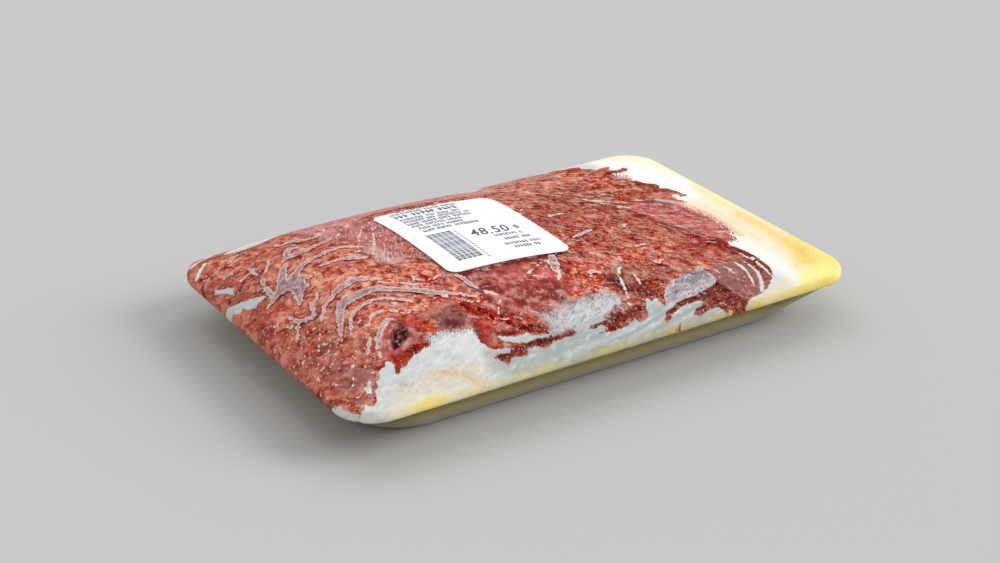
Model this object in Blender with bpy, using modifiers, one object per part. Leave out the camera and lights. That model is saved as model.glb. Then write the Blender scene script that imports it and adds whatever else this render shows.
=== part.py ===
"""A wrapped tray of minced meat: foam tray, meat, stretch film and a paper label.

Metres, +Z up. X runs along the tray's long side. The origin is the centre of
the pack's footprint, on the surface that it stands on.
"""

import math

import bmesh
import bpy
from mathutils import Vector

# Driving dimensions: the outside of the wrapped pack.
PACK_LENGTH = 0.210
PACK_WIDTH = 0.1384
RIM_TOP = 0.0184
RIM_CORNER = 0.0148
BASE_INSET = 0.014
BASE_CORNER = 0.0230

# Film, and the gap that its folded edges leave under the base.
FILM = 0.0005
WINDOW_LENGTH = 0.058
WINDOW_WIDTH = 0.014

# Foam tray.
FOAM = 0.0030
LIP = 0.0022
FLANGE_WIDTH = 0.0055
EDGE_ROUND = 0.0011

# The mound that the film is drawn over: its height above the rim, and how square its slopes are.
CROWN = 0.0183
CROWN_SHIFT = 0.47
CROWN_SQUARENESS_X = 2.74
CROWN_SQUARENESS_Y = 2.88

# Meat: its edge in the plan, and the round shoulder where it isn't pressed to the film.
MEAT_LEFT = -0.1015
MEAT_RIGHT = 0.0865
MEAT_NEAR = -0.0645
MEAT_FAR = 0.0662
MEAT_CORNER = 0.024
MEAT_EDGE = 0.0012
MEAT_SHOULDER = 0.016
MEAT_SHOULDER_RISE = 0.038
MEAT_CLEAR = 0.0016
MEAT_LUMP = 0.0016

# Paper label.
LABEL_SIZE = (0.0505, 0.0585)
LABEL_CENTRE = (-0.0165, 0.0049)
LABEL_TURN = math.radians(-0.6)
LABEL_CORNER = 0.0042
PAPER = 0.0003

# Clearance kept between pieces that touch.
GAP = 0.0003

CORNER_STEPS = 6
SIDE_STEPS_LONG = 10
SIDE_STEPS_SHORT = 7

HALF_LENGTH = PACK_LENGTH / 2
HALF_WIDTH = PACK_WIDTH / 2

# The tray lies this far inside the film's outside.
TRAY_EDGE = FILM + GAP + 0.0001
TRAY_UNDERSIDE = FILM + GAP
TRAY_TOP = RIM_TOP - FILM - GAP - 0.0002

# The tray's upper face as (inset, height), from the lip down to the floor.
FLANGE_END = TRAY_EDGE + FLANGE_WIDTH
TRAY_FOOT = BASE_INSET + 0.0010
WALL_HEAD = FLANGE_END + FOAM * 1.05
WALL_FOOT = TRAY_FOOT + FOAM * 0.4
TRAY_FLOOR = TRAY_UNDERSIDE + FOAM
TRAY_SLOPE = (
    (TRAY_EDGE + EDGE_ROUND, TRAY_TOP),
    (FLANGE_END - 0.0016, TRAY_TOP),
    (FLANGE_END + 0.0012, TRAY_TOP - 0.0008),
    (WALL_HEAD, TRAY_TOP - 0.0032),
    (WALL_FOOT, TRAY_FLOOR + 0.0014),
    (WALL_FOOT + 0.0026, TRAY_FLOOR),
)

# The film's underside passes this low below the tray's lip.
RIM_UNDER = TRAY_TOP - LIP - GAP - FILM - 0.0004


def rounded_rectangle(half_length, half_width, radius, centre=(0.0, 0.0)):
    """Points anticlockwise round a rounded rectangle, always the same number, so that any two can be joined."""
    straight_x = half_length - radius
    straight_y = half_width - radius
    sides = (
        ((straight_x, straight_y), 0.0, (-straight_x, straight_y), SIDE_STEPS_LONG),
        ((-straight_x, straight_y), 0.5 * math.pi, (-straight_x, -straight_y), SIDE_STEPS_SHORT),
        ((-straight_x, -straight_y), math.pi, (straight_x, -straight_y), SIDE_STEPS_LONG),
        ((straight_x, -straight_y), 1.5 * math.pi, (straight_x, straight_y), SIDE_STEPS_SHORT),
    )
    points = []
    for corner, start, following, side_steps in sides:
        for step in range(CORNER_STEPS):
            angle = start + 0.5 * math.pi * step / CORNER_STEPS
            points.append((corner[0] + radius * math.cos(angle), corner[1] + radius * math.sin(angle)))
        end = start + 0.5 * math.pi
        reach = (radius * math.cos(end), radius * math.sin(end))
        for step in range(side_steps):
            share = step / side_steps
            x = corner[0] + (following[0] - corner[0]) * share + reach[0]
            y = corner[1] + (following[1] - corner[1]) * share + reach[1]
            points.append((x, y))
    return [(x + centre[0], y + centre[1]) for x, y in points]


def inset_outline(inset, radius):
    """The pack's outline drawn in by an inset."""
    return rounded_rectangle(HALF_LENGTH - inset, HALF_WIDTH - inset, radius)


def corner_radius(inset):
    """The corner radius of the tray's wall, which narrows from the rim to the base."""
    return RIM_CORNER + (BASE_CORNER - RIM_CORNER) * min(1.0, inset / BASE_INSET)


def wall_outline(inset):
    """The outline of the tray's wall at an inset from the pack's outline."""
    return inset_outline(inset, corner_radius(inset))


def shrunk(outline, share, centre=(0.0, 0.0)):
    """An outline scaled towards a centre."""
    return [(centre[0] + (x - centre[0]) * share, centre[1] + (y - centre[1]) * share) for x, y in outline]


def crown_height(x, y):
    """How far the film's outside stands above the rim's top at a place in the plan."""
    along = x / HALF_LENGTH
    # The mound is highest left of the middle, because the tray is less full on the right.
    along = along + CROWN_SHIFT * (1.0 - along * along)
    across = y / HALF_WIDTH
    fall_x = max(0.0, 1.0 - abs(along) ** CROWN_SQUARENESS_X)
    fall_y = max(0.0, 1.0 - abs(across) ** CROWN_SQUARENESS_Y)
    return CROWN * fall_x * fall_y


def film_top(x, y):
    """Height of the film's outside over the pack."""
    return RIM_TOP + crown_height(x, y)


def ring(bm, outline, height):
    """Adds a ring of points. height is a number or a function of x and y."""
    level = height if callable(height) else (lambda x, y: height)
    return [bm.verts.new((x, y, level(x, y))) for x, y in outline]


def loft(rings, close_first=False, close_last=False, centre_height=None):
    """A surface through (outline, height) rings in turn, with the end rings filled where asked."""
    bm = bmesh.new()
    loops = [ring(bm, outline, height) for outline, height in rings]
    for first, second in zip(loops, loops[1:]):
        for step in range(len(first)):
            bm.faces.new((first[step - 1], first[step], second[step], second[step - 1]))
    for wanted, loop, level in ((close_first, loops[0], None), (close_last, loops[-1], centre_height)):
        if wanted:
            middle = bmesh.ops.poke(bm, faces=[bm.faces.new(loop)])["verts"][0]
            if level:
                middle.co.z = level(middle.co.x, middle.co.y)
    bmesh.ops.recalc_face_normals(bm, faces=bm.faces)
    return bm


def face_away(bm, centre):
    """Turns an open surface's faces round if they look towards a point inside it."""
    looking_out = sum(face.normal.dot(face.calc_center_median() - centre) for face in bm.faces)
    if looking_out < 0.0:
        bmesh.ops.reverse_faces(bm, faces=bm.faces)


def material(name, colour, roughness, alpha=1.0):
    made = bpy.data.materials.new(name)
    made.use_nodes = True
    shader = made.node_tree.nodes["Principled BSDF"]
    shader.inputs["Base Color"].default_value = (*colour, 1.0)
    shader.inputs["Roughness"].default_value = roughness
    shader.inputs["Metallic"].default_value = 0.0
    shader.inputs["Alpha"].default_value = alpha
    return made


def piece(name, bm, finish, collection):
    """Makes an object of a bmesh, shaded smooth."""
    mesh = bpy.data.meshes.new(name)
    bm.to_mesh(mesh)
    bm.free()
    mesh.materials.append(finish)
    mesh.shade_smooth()
    made = bpy.data.objects.new(name, mesh)
    collection.objects.link(made)
    return made


def thicken(made, thickness, offset):
    """Turns an open surface into a wall: offset -1 puts it behind the surface, 1 in front."""
    solidify = made.modifiers.new("wall", "SOLIDIFY")
    solidify.thickness = thickness
    solidify.offset = offset
    solidify.use_even_offset = True
    solidify.use_rim = True


def make_film(collection):
    """The stretch film: under the base, straight across to the rim, round it and over the mound.
    It is open only where its folded edges fail to meet under the base."""
    base = inset_outline(BASE_INSET, BASE_CORNER)
    window = rounded_rectangle(WINDOW_LENGTH / 2, WINDOW_WIDTH / 2, WINDOW_WIDTH * 0.45)
    rim = inset_outline(0.0, RIM_CORNER)
    rings = [
        (window, 0.0),
        (shrunk(base, 0.70), 0.0),
        (inset_outline(BASE_INSET + 0.0014, BASE_CORNER), 0.0),
        (inset_outline(BASE_INSET - 0.0002, BASE_CORNER), 0.0007),
        (wall_outline(BASE_INSET * 0.52), RIM_UNDER * 0.51),
        (inset_outline(0.0022, RIM_CORNER), RIM_UNDER + 0.0001),
        (inset_outline(0.0005, RIM_CORNER), RIM_UNDER + 0.0007),
        (rim, RIM_UNDER + 0.0018),
        (rim, RIM_TOP - 0.0014),
        (inset_outline(0.0006, RIM_CORNER), RIM_TOP - 0.0003),
    ]
    for share in (0.975, 0.94, 0.89, 0.82, 0.73, 0.62, 0.49, 0.34, 0.17):
        rings.append((shrunk(rim, share), film_top))
    bm = loft(rings, close_last=True, centre_height=film_top)
    face_away(bm, Vector((0.0, 0.0, RIM_TOP / 2)))
    film = piece("film", bm, material("clear film", (0.93, 0.93, 0.95), 0.12, 0.3), collection)
    thicken(film, FILM, -1.0)
    return film


def make_tray(collection):
    """The foam tray: a flat base, a wall that slopes out, and a flat flange with a round lip."""
    flange_under = TRAY_TOP - FOAM
    base_centre = shrunk(inset_outline(WALL_FOOT, BASE_CORNER), 0.45)
    rings = [
        (base_centre, TRAY_UNDERSIDE),
        (wall_outline(TRAY_FOOT + 0.0020), TRAY_UNDERSIDE),
        (wall_outline(TRAY_FOOT + 0.0006), TRAY_UNDERSIDE + 0.0004),
        (wall_outline(TRAY_FOOT - 0.0006), TRAY_UNDERSIDE + 0.0016),
        (wall_outline(FLANGE_END + 0.0016), flange_under - 0.0022),
        (wall_outline(FLANGE_END + 0.0002), flange_under - 0.0006),
        (wall_outline(FLANGE_END - 0.0016), flange_under),
        (wall_outline(TRAY_EDGE + EDGE_ROUND), TRAY_TOP - LIP),
        (wall_outline(TRAY_EDGE), TRAY_TOP - LIP + EDGE_ROUND * 0.9),
        (wall_outline(TRAY_EDGE), TRAY_TOP - EDGE_ROUND),
    ]
    rings += [(wall_outline(inset), height) for inset, height in TRAY_SLOPE]
    rings.append((base_centre, TRAY_FLOOR))
    bm = loft(rings, close_first=True, close_last=True)
    return piece("tray", bm, material("yellow foam", (0.93, 0.70, 0.13), 0.6), collection)


def inset_of(x, y):
    """How far a place lies in from the pack's outline, counted along the family of rounded rectangles
    that the tray's wall is made of."""
    low = 0.0
    high = HALF_WIDTH
    for _ in range(24):
        inset = 0.5 * (low + high)
        radius = corner_radius(inset)
        past_x = max(0.0, abs(x) - (HALF_LENGTH - inset - radius))
        past_y = max(0.0, abs(y) - (HALF_WIDTH - inset - radius))
        if math.hypot(past_x, past_y) < radius:
            low = inset
        else:
            high = inset
    return low


def tray_inside(inset):
    """Height of the tray's upper face at an inset from the pack's outline."""
    for (near, high), (far, low) in zip(TRAY_SLOPE, TRAY_SLOPE[1:]):
        if inset <= far:
            return high + (low - high) * max(0.0, inset - near) / (far - near)
    return TRAY_SLOPE[-1][1]


def film_underside(x, y):
    """Height of the film's inside, less the clearance, square to the slope there."""
    step = 0.0005
    slope_x = (film_top(x + step, y) - film_top(x - step, y)) / (2 * step)
    slope_y = (film_top(x, y + step) - film_top(x, y - step)) / (2 * step)
    return film_top(x, y) - (FILM + 2.1 * GAP) * math.sqrt(1.0 + slope_x**2 + slope_y**2)


def meat_outline():
    """The edge of the meat in the plan, a rounded rectangle with a wandering edge."""
    centre = ((MEAT_LEFT + MEAT_RIGHT) / 2, (MEAT_NEAR + MEAT_FAR) / 2)
    even = rounded_rectangle((MEAT_RIGHT - MEAT_LEFT) / 2, (MEAT_FAR - MEAT_NEAR) / 2, MEAT_CORNER, centre)
    outline = []
    for x, y in even:
        angle = math.atan2(y - centre[1], x - centre[0])
        wander = 0.6 * math.sin(5 * angle + 0.7) + 0.4 * math.sin(11 * angle + 2.1) - 1.0
        reach = math.hypot(x - centre[0], y - centre[1])
        share = 1.0 + MEAT_LUMP * wander / reach
        outline.append((centre[0] + (x - centre[0]) * share, centre[1] + (y - centre[1]) * share))
    return outline, centre


def make_meat(collection):
    """The minced meat: it fills the tray from below and is pressed to the film above, with a round shoulder."""
    outline, centre = meat_outline()
    reach = min(MEAT_RIGHT - MEAT_LEFT, MEAT_FAR - MEAT_NEAR) / 2

    def underside(x, y):
        # Read a little further out, where the tray is higher, so that flat facets clear its round bends.
        return tray_inside(inset_of(x, y) - MEAT_CLEAR) + 1.5 * GAP

    def topside(share):
        rounding = min(1.0, (1.0 - share) * reach / MEAT_SHOULDER)
        rise = MEAT_EDGE + MEAT_SHOULDER_RISE * math.sqrt(1.0 - (1.0 - rounding) ** 2)
        return lambda x, y: min(film_underside(x, y), underside(x, y) + rise)

    shares = (1.0, 0.985, 0.965, 0.935, 0.895, 0.84, 0.76, 0.65, 0.50, 0.32)
    rings = [(shrunk(outline, share, centre), underside) for share in reversed(shares)]
    rings += [(shrunk(outline, share, centre), topside(share)) for share in shares]
    bm = loft(rings, close_first=True, close_last=True, centre_height=topside(0.0))
    return piece("meat", bm, material("minced meat", (0.50, 0.12, 0.08), 0.35), collection)


def make_label(collection):
    """The paper label, laid on the film and following its curve."""
    outline = rounded_rectangle(LABEL_SIZE[0] / 2, LABEL_SIZE[1] / 2, LABEL_CORNER)
    cosine = math.cos(LABEL_TURN)
    sine = math.sin(LABEL_TURN)
    placed = [
        (LABEL_CENTRE[0] + x * cosine - y * sine, LABEL_CENTRE[1] + x * sine + y * cosine) for x, y in outline
    ]

    def on_film(x, y):
        return film_top(x, y) + 1.5 * GAP

    shares = (1.0, 0.72, 0.40)
    rings = [(shrunk(placed, share, LABEL_CENTRE), on_film) for share in shares]
    bm = loft(rings, close_last=True, centre_height=on_film)
    face_away(bm, Vector((*LABEL_CENTRE, 0.0)))
    label = piece("label", bm, material("white paper", (0.93, 0.93, 0.92), 0.5), collection)
    thicken(label, PAPER, 1.0)
    return label


def main():
    for old in list(bpy.data.objects):
        bpy.data.objects.remove(old)
    pack = bpy.data.collections.new("meat tray pack")
    bpy.context.scene.collection.children.link(pack)
    make_tray(pack)
    make_meat(pack)
    make_film(pack)
    make_label(pack)


main()
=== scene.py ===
"""Minced meat in a yellow foam tray, under stretch film, with a paper scale label.

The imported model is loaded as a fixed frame, and each of its nodes is replaced by a dressed piece in the
same place: foam tray, mince, film and label. Run as a script, it builds the whole scene.
"""

import math

import bpy
import numpy as np
from bpy.props import FloatProperty, FloatVectorProperty, IntProperty, PointerProperty
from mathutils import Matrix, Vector


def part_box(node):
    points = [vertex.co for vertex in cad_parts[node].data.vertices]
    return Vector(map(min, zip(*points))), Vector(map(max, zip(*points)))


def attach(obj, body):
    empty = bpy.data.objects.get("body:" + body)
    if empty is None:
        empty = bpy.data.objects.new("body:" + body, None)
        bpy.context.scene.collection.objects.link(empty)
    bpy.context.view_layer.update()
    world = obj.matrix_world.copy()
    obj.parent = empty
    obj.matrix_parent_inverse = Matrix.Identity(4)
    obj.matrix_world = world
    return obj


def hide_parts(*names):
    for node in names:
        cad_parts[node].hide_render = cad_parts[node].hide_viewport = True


bl_info = {
    "name": "Wrapped mince tray",
    "version": (1, 0, 0),
    "blender": (4, 5, 0),
    "location": "3D View > Sidebar > Mince Tray",
    "description": "Builds a film-wrapped foam tray of minced meat with a paper label",
    "category": "Object",
}

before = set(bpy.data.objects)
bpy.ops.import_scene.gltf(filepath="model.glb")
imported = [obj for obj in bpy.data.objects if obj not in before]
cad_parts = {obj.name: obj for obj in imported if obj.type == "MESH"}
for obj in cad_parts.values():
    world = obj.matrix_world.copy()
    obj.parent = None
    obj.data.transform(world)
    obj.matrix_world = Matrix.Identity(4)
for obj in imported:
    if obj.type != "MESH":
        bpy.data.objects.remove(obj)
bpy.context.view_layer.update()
MM = 0.001

# ---------------- sizes taken from the frame, in millimetres
FILM_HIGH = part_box("film")[1] / MM
TRAY_LOW, TRAY_HIGH = (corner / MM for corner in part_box("tray"))
HALF_LENGTH = FILM_HIGH.x
HALF_WIDTH = FILM_HIGH.y
RIM_TOP = TRAY_HIGH.z + 1.0
CROWN = FILM_HIGH.z - RIM_TOP

# The mound's shape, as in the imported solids.
CROWN_SHIFT = 0.47
CROWN_SQUARENESS_X = 2.74
CROWN_SQUARENESS_Y = 2.88
RIM_CORNER = 14.8
BASE_INSET = 14.0
BASE_CORNER = 23.0
LABEL_SIZE = (50.5, 58.5)
LABEL_CENTRE = (-16.5, 4.9)
LABEL_TURN = math.radians(-0.6)
LABEL_CORNER = 4.2

# ---------------- plan of the pack, in millimetres
# X runs along the tray and Y away from its near side.

# The edge of the meat that is pressed to the film.
MEAT_EDGE = (
    (-107, -48), (-105, -54), (-103.8, -58.4), (-102.4, -62), (-100.8, -64.8), (-98.8, -64.8), (-98.2, -63.2),
    (-97, -62), (-96.8, -64), (-95.5, -64.7), (-93.5, -63.5), (-92.3, -61), (-92.3, -59.5), (-90.5, -58.5),
    (-89.5, -56.5), (-88, -55.2), (-86.5, -53), (-84.5, -52.6), (-83.5, -51.3), (-82.2, -51.8),
    (-81.6, -53.5), (-82.4, -55.6), (-82.8, -57.3), (-81.2, -57.4), (-80.5, -56), (-78.2, -56),
    (-77.4, -54.8), (-75.3, -54.4), (-74.3, -53.2), (-71.5, -53.4), (-69.5, -52.3), (-67.1, -52.4),
    (-66.5, -50.6), (-65, -48.8), (-61, -48.2), (-57, -49.4), (-53, -50.4), (-50.4, -51), (-50, -53.5),
    (-50.2, -57), (-48.8, -58.9), (-47.5, -60.4), (-43, -60.7), (-39.5, -61.9), (-36, -63.2),
    (-33, -62.9), (-30.2, -64.2), (-28.2, -64.2), (-26, -63), (-23.5, -63.3), (-20, -62.9), (-17, -63.2),
    (-15.7, -62.4), (-15.8, -61), (-13.2, -59.6), (-17, -60.2), (-20, -60.8), (-24, -60.9), (-22, -58),
    (-19, -55.5), (-12, -53.5), (-4, -51.3), (3, -50.8), (7.6, -50.6), (8.4, -53), (6.8, -56.8),
    (5.4, -56), (3, -56.8), (0, -58.2), (-3, -59.2), (-2, -60.8), (-5.5, -61.2), (-8.6, -61.3),
    (-10.8, -62), (-8.5, -62.9), (-5.2, -62.2), (-3.2, -63.9), (-7.6, -64.4), (-6.6, -65), (-2, -65.4),
    (3, -65.1), (5.2, -64.2), (8.3, -63.2), (9.2, -64.8), (12.6, -64.4), (14.5, -62.5), (15, -60.3),
    (17.2, -57.2), (18.5, -56.2), (19.2, -58.2), (20.3, -57.2), (21.7, -57.2), (22, -59.6), (22.8, -61.1),
    (24, -60), (25, -57.7), (26.2, -56), (27.8, -54.6), (29.2, -53), (32, -51.6), (34, -49.8),
    (38, -49), (42, -47.5), (46, -46.8), (48, -45), (50, -44.2), (50.8, -46.5), (51.9, -50.5),
    (51.2, -53), (49.4, -55.4), (45.5, -57), (41, -58.2), (37.5, -59.4), (31, -60.2), (27.5, -61.1),
    (25.5, -62.2), (22.5, -63), (20.4, -64.1), (20, -65.4), (18, -66.6), (18.6, -67.6), (21.6, -66.6),
    (22.2, -65.3), (24.5, -64.4), (27.5, -63.4), (30.5, -62.7), (36, -62.2), (38.6, -63.2), (35.6, -64.6),
    (33.2, -65.3), (31.3, -66.7), (30, -67.7), (33, -68.4), (36.5, -67.5), (42, -67), (41.6, -68),
    (43.6, -69.1), (46, -68.8), (48.5, -69.8), (51, -69.8), (53.4, -68.7), (57, -67.2), (61, -66.6),
    (65.6, -64.6), (68.6, -62.8), (71.4, -59.8), (73.6, -57.9), (75.6, -55.4), (77.1, -52), (77.4, -48),
    (78.1, -43.8), (77.8, -39.5), (76.8, -35.4), (75, -31), (76.5, -28.2), (80, -28), (82.5, -24.5),
    (84.5, -19), (86.8, -12), (87, -5), (86.4, 3), (84.5, 9), (85.2, 11.5), (87.8, 11.4), (87, 14.6),
    (85.4, 16), (88, 17.4), (92, 17.2), (93.4, 18.6), (91.8, 20.4), (92.1, 22), (91, 25.2), (89.5, 27.4),
    (87, 28.6), (88.8, 31), (88.4, 33.4), (86, 35), (84, 38), (81.5, 40.5), (82, 43), (83.6, 45.2),
    (81.6, 47.2), (79.4, 48.6), (79.6, 50.4), (84, 49.9), (88, 51), (88.8, 53), (88.2, 54.9),
    (85.3, 53.4), (81.5, 54), (81.8, 56), (83.6, 58.2), (80, 58.9), (77, 57.6), (75.2, 60.4),
    (72.4, 62), (73.4, 64.6), (70.5, 65.9), (66.5, 66), (62, 67.2), (57, 66.6), (50, 67.4), (40, 68.6),
    (20, 68.6), (0, 68), (-30, 68.4), (-60, 67.8), (-86, 66.6), (-100, 66), (-107, 60),
)

# Places inside that edge where the film stands off over pale fog.
FOGGED_GAPS = (
    ((-43.6, -56.3), (-40.5, -57.2), (-36, -58.3), (-33, -57.9), (-31.4, -59.4), (-28, -60.1), (-24.5, -59.9),
     (-23, -61.2), (-28, -61), (-31, -60.5), (-34, -61.2), (-38, -60.3), (-40.6, -59.5), (-42.6, -58.2)),
    ((-103.7, 36.4), (-102.7, 38.4), (-101.4, 35.4), (-99.6, 33.2), (-98.8, 30.6), (-100.6, 27.2),
     (-101, 30.2), (-102.2, 33.4)),
    ((-107, 26), (-104.6, 24.8), (-102.5, 23), (-99, 19), (-95.2, 14.2), (-94.3, 12.3), (-97.5, 13.3),
     (-99.5, 12), (-101, 14.6), (-101.4, 17.5), (-103.5, 17), (-104.2, 20), (-107, 21)),
    ((-89.5, 59.5), (-86.5, 55), (-82, 52), (-77.5, 51.4), (-73, 53.6), (-69, 55), (-66, 60), (-64, 66),
     (-70, 66.4), (-78, 63), (-86, 62)),
    ((-94.4, -57.4), (-91.6, -54.4), (-91.4, -55.6), (-93.4, -59.6), (-94.8, -59)),
    ((86.2, 19.6), (87.6, 20.6), (89.6, 19.8), (89, 17), (87.4, 16.8)),
    ((33.5, -50), (38, -49.2), (42, -47.6), (46, -46.8), (48, -45), (50, -44.2), (50.8, -46.5),
     (51.8, -50.5), (51, -53), (49, -55.4), (45.5, -56.8), (41, -58), (37.5, -59.2), (33, -59.4)),
    ((0.5, 69), (1, 60), (8, 55), (16, 53), (21, 57), (24, 63), (25, 69)),
)

# Meat that touches the film beyond that edge.
MEAT_SPOTS = (
    ((-48.7, -62.6), (-47, -62), (-44.5, -62.3), (-42.5, -62.6), (-41.4, -61.6), (-39.5, -62), (-38.2, -62.9),
     (-36.3, -63.7), (-36.8, -64.9), (-39, -65), (-41, -64.5), (-43.2, -64.3), (-44.3, -65.2),
     (-44.6, -66.7), (-45.7, -66.4), (-46, -65), (-47.3, -63.9)),
    ((-40.7, -66.2), (-39.4, -66.4), (-39.2, -67.5), (-40.5, -67.3)),
    ((20.4, -70.6), (21.5, -69.2), (24, -68.5), (23.6, -70), (21.5, -71.4)),
    ((82, 46.4), (83.4, 46), (83, 44.2), (81.8, 44.8)),
)

# Pale streaks of trapped air at the right end, as (x, y, half width).
AIR_STREAKS = (
    ((73.5, -35, 0.1), (73.8, -38, 0.3), (74.2, -42, 0.4), (74.6, -44, 0.2)),
    ((76.2, -43.8, 0.6), (75.2, -44.8, 0.6)),
    ((75.4, -46.8, 0.5), (74.7, -49, 0.7), (74.2, -53, 0.5), (73.2, -57.6, 0.4)),
    ((70.6, -43.4, 0.2), (70.8, -48, 0.4), (70.1, -53, 0.5), (68.4, -57.4, 0.6), (65.8, -61.4, 0.6),
     (62.6, -65.4, 0.5)),
    ((66.6, -44.6, 0.3), (67.0, -48, 0.6), (66.4, -52, 0.5), (65.2, -55.6, 0.4), (63.6, -59, 0.3),
     (61.6, -62.6, 0.2)),
    ((60.4, -46.4, 0.2), (61.0, -49, 0.5), (60.8, -51.6, 0.3)),
    ((54.8, -47, 0.2), (55.3, -49.8, 0.35)),
    ((10, -57.1, 0.5), (10.6, -57.4, 0.5)),
    ((20.5, -38, 0.2), (17.5, -40, 0.5), (16.6, -42.5, 0.3)),
    ((15.4, -42, 0.2), (14.6, -46, 0.5), (12.8, -51, 0.4), (11.4, -54.6, 0.2)),
    ((21.6, -44, 0.2), (21.2, -47, 0.4), (20.4, -49.6, 0.2)),
)

# Pockets where the film stands just off the meat, as (x, y, half width) along each.
POCKETS = (
    ((-95.1, -5, 0.1), (-94.9, -8, 0.5), (-94.4, -11, 0.7), (-92, -13, 0.8), (-90, -13.8, 0.6),
     (-88.6, -11, 0.5), (-87.6, -7.6, 0.4), (-85, -7, 0.5), (-83.6, -4.4, 0.2)),
    ((-94.4, -11, 0.6), (-96, -13.5, 0.5), (-97.6, -16.5, 0.4), (-99, -18, 0.2)),
    ((-89.5, -18.5, 0.2), (-88, -16.5, 0.5), (-84.5, -12.5, 0.6), (-81, -10.6, 0.8), (-79, -9.2, 1.4),
     (-76, -8.2, 1.7), (-72, -8, 1.6), (-68.6, -8.8, 1.2), (-67.6, -11, 0.6), (-65, -12.6, 0.6),
     (-63, -14, 0.2)),
    ((-88.6, -30.6, 0.5), (-87, -27, 0.8), (-85, -23.5, 1.2), (-83, -20, 1.4), (-81, -17.4, 1.9),
     (-78, -16.4, 2.2), (-74, -17, 2.0), (-70, -17.4, 1.8), (-67.5, -18.5, 1.6), (-65, -21, 1.2),
     (-62, -23.4, 1.1), (-58.5, -26, 1.2), (-55, -29, 1.4), (-52, -31.5, 1.1), (-48, -33.4, 0.8),
     (-44, -36, 0.5), (-41, -38.4, 0.3)),
    ((-86.4, -33.4, 0.3), (-84.5, -30, 0.7), (-83, -27, 0.6), (-80, -24.4, 0.6), (-77, -23.4, 0.7),
     (-73, -23.4, 0.8), (-70, -24.2, 0.7), (-67, -26.4, 0.7), (-64.5, -29, 0.8), (-62, -31.5, 0.4)),
    ((-79.5, -33.4, 0.2), (-77.5, -31, 0.4), (-75, -30.2, 0.5), (-72, -30.8, 0.5), (-70, -32.4, 0.5),
     (-68, -34.6, 0.3), (-65.6, -36.4, 0.2)),
    ((-84, -48.6, 0.3), (-82.4, -43.8, 0.6), (-79.5, -40, 0.8), (-76.5, -37.2, 0.9), (-73.8, -35.8, 0.8),
     (-71.4, -36.4, 0.4)),
    ((-86.4, -44.4, 0.4), (-84.4, -42, 0.6), (-82.4, -39.4, 0.2)),
    ((-97.2, 6.8, 0.3), (-94.5, 8.4, 0.8), (-91.5, 9.4, 1.8), (-88, 9.6, 3.0), (-85.6, 8, 3.3), (-86, 4, 2.8),
     (-88, 0.6, 1.3), (-89.6, -3, 0.8), (-90.2, -4.6, 0.2)),
    ((-93.3, 9, 0.9), (-93.4, 13.5, 0.8), (-92.6, 18, 0.4), (-91.6, 21.5, 0.8), (-90.6, 23.8, 0.3)),
    ((-90.5, 11, 1.2), (-88, 13.5, 2.0), (-86.6, 16.5, 1.4), (-84.5, 19.4, 1.3), (-82, 22, 0.5)),
    ((-86, 10, 2.5), (-83, 12.8, 1.5), (-80.5, 14.8, 1.1), (-77, 16.4, 0.9), (-72, 16.8, 0.9), (-66, 17, 0.9),
     (-63, 16.8, 0.7), (-60.4, 14.6, 0.8), (-57, 11.8, 0.4)),
    ((-83, 9, 1.5), (-80.8, 7, 0.8), (-79.6, 6.4, 0.2)),
    ((-82, 25.4, 0.6), (-79.6, 26.6, 1.1), (-78, 29.4, 1.2), (-76, 31.6, 1.0), (-73.6, 29.8, 0.4)),
    ((-79.4, 26, 0.9), (-76, 24.8, 1.5), (-72, 24.8, 1.0), (-68, 24.8, 0.8), (-64, 25.4, 0.9),
     (-60.5, 27.6, 0.4)),
    ((-76, 10.2, 0.2), (-73.6, 9.6, 0.8), (-70, 9.3, 0.5), (-67.4, 8.4, 0.7), (-65, 6.8, 1.3),
     (-62.4, 4.8, 0.9), (-60, 3.4, 0.3)),
    ((-98.2, 39.6, 0.5), (-97, 40.4, 1.2), (-95.6, 39.6, 0.8)),
    ((-95.4, 31, 0.4), (-91.5, 31.5, 0.4), (-89.4, 32.4, 0.2)),
    ((-88.4, 25.6, 0.4), (-86, 28.6, 0.5), (-84.4, 31, 0.2)),
    ((-91.5, 36, 0.2), (-90.6, 32, 0.5), (-91.4, 27, 0.3)),
    ((-73, 38.6, 1.0), (-70.4, 36, 1.5), (-68.6, 33.6, 1.0), (-65, 33.2, 0.8), (-61.4, 34.4, 0.4)),
    ((-77.4, 40, 0.4), (-76, 38.2, 0.8), (-74.6, 37.2, 0.4)),
    ((-40.6, -25, 0.6), (-39.2, -28.5, 1.0), (-39, -33, 0.6), (-37, -36, 0.4), (-34, -40, 0.4)),
    ((19, 7.4, 0.3), (22, 8.2, 0.7), (26, 9.4, 0.6), (29.5, 9.6, 0.2)),
    ((55.6, 13, 0.6), (57.6, 13.6, 0.9), (60.4, 12.4, 0.4)),
    ((34.6, -38.4, 0.6), (37, -37.6, 0.9), (39.4, -36.6, 0.3)),
    ((42, -9, 0.2), (45.6, -4.4, 0.6), (49, -4, 0.2)),
    ((16, -14, 0.2), (19, -12.4, 0.7), (24, -10, 0.6), (28, -8, 0.3)),
    ((36.6, -25, 0.5), (39.6, -23.8, 0.6), (42, -23.6, 0.2)),
    ((-2, -27, 1.6), (-4, -31, 2.0), (-6, -35, 1.0)),
    ((9.4, -40, 0.3), (6.6, -38.4, 0.8), (4.6, -41, 0.4)),
)

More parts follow.
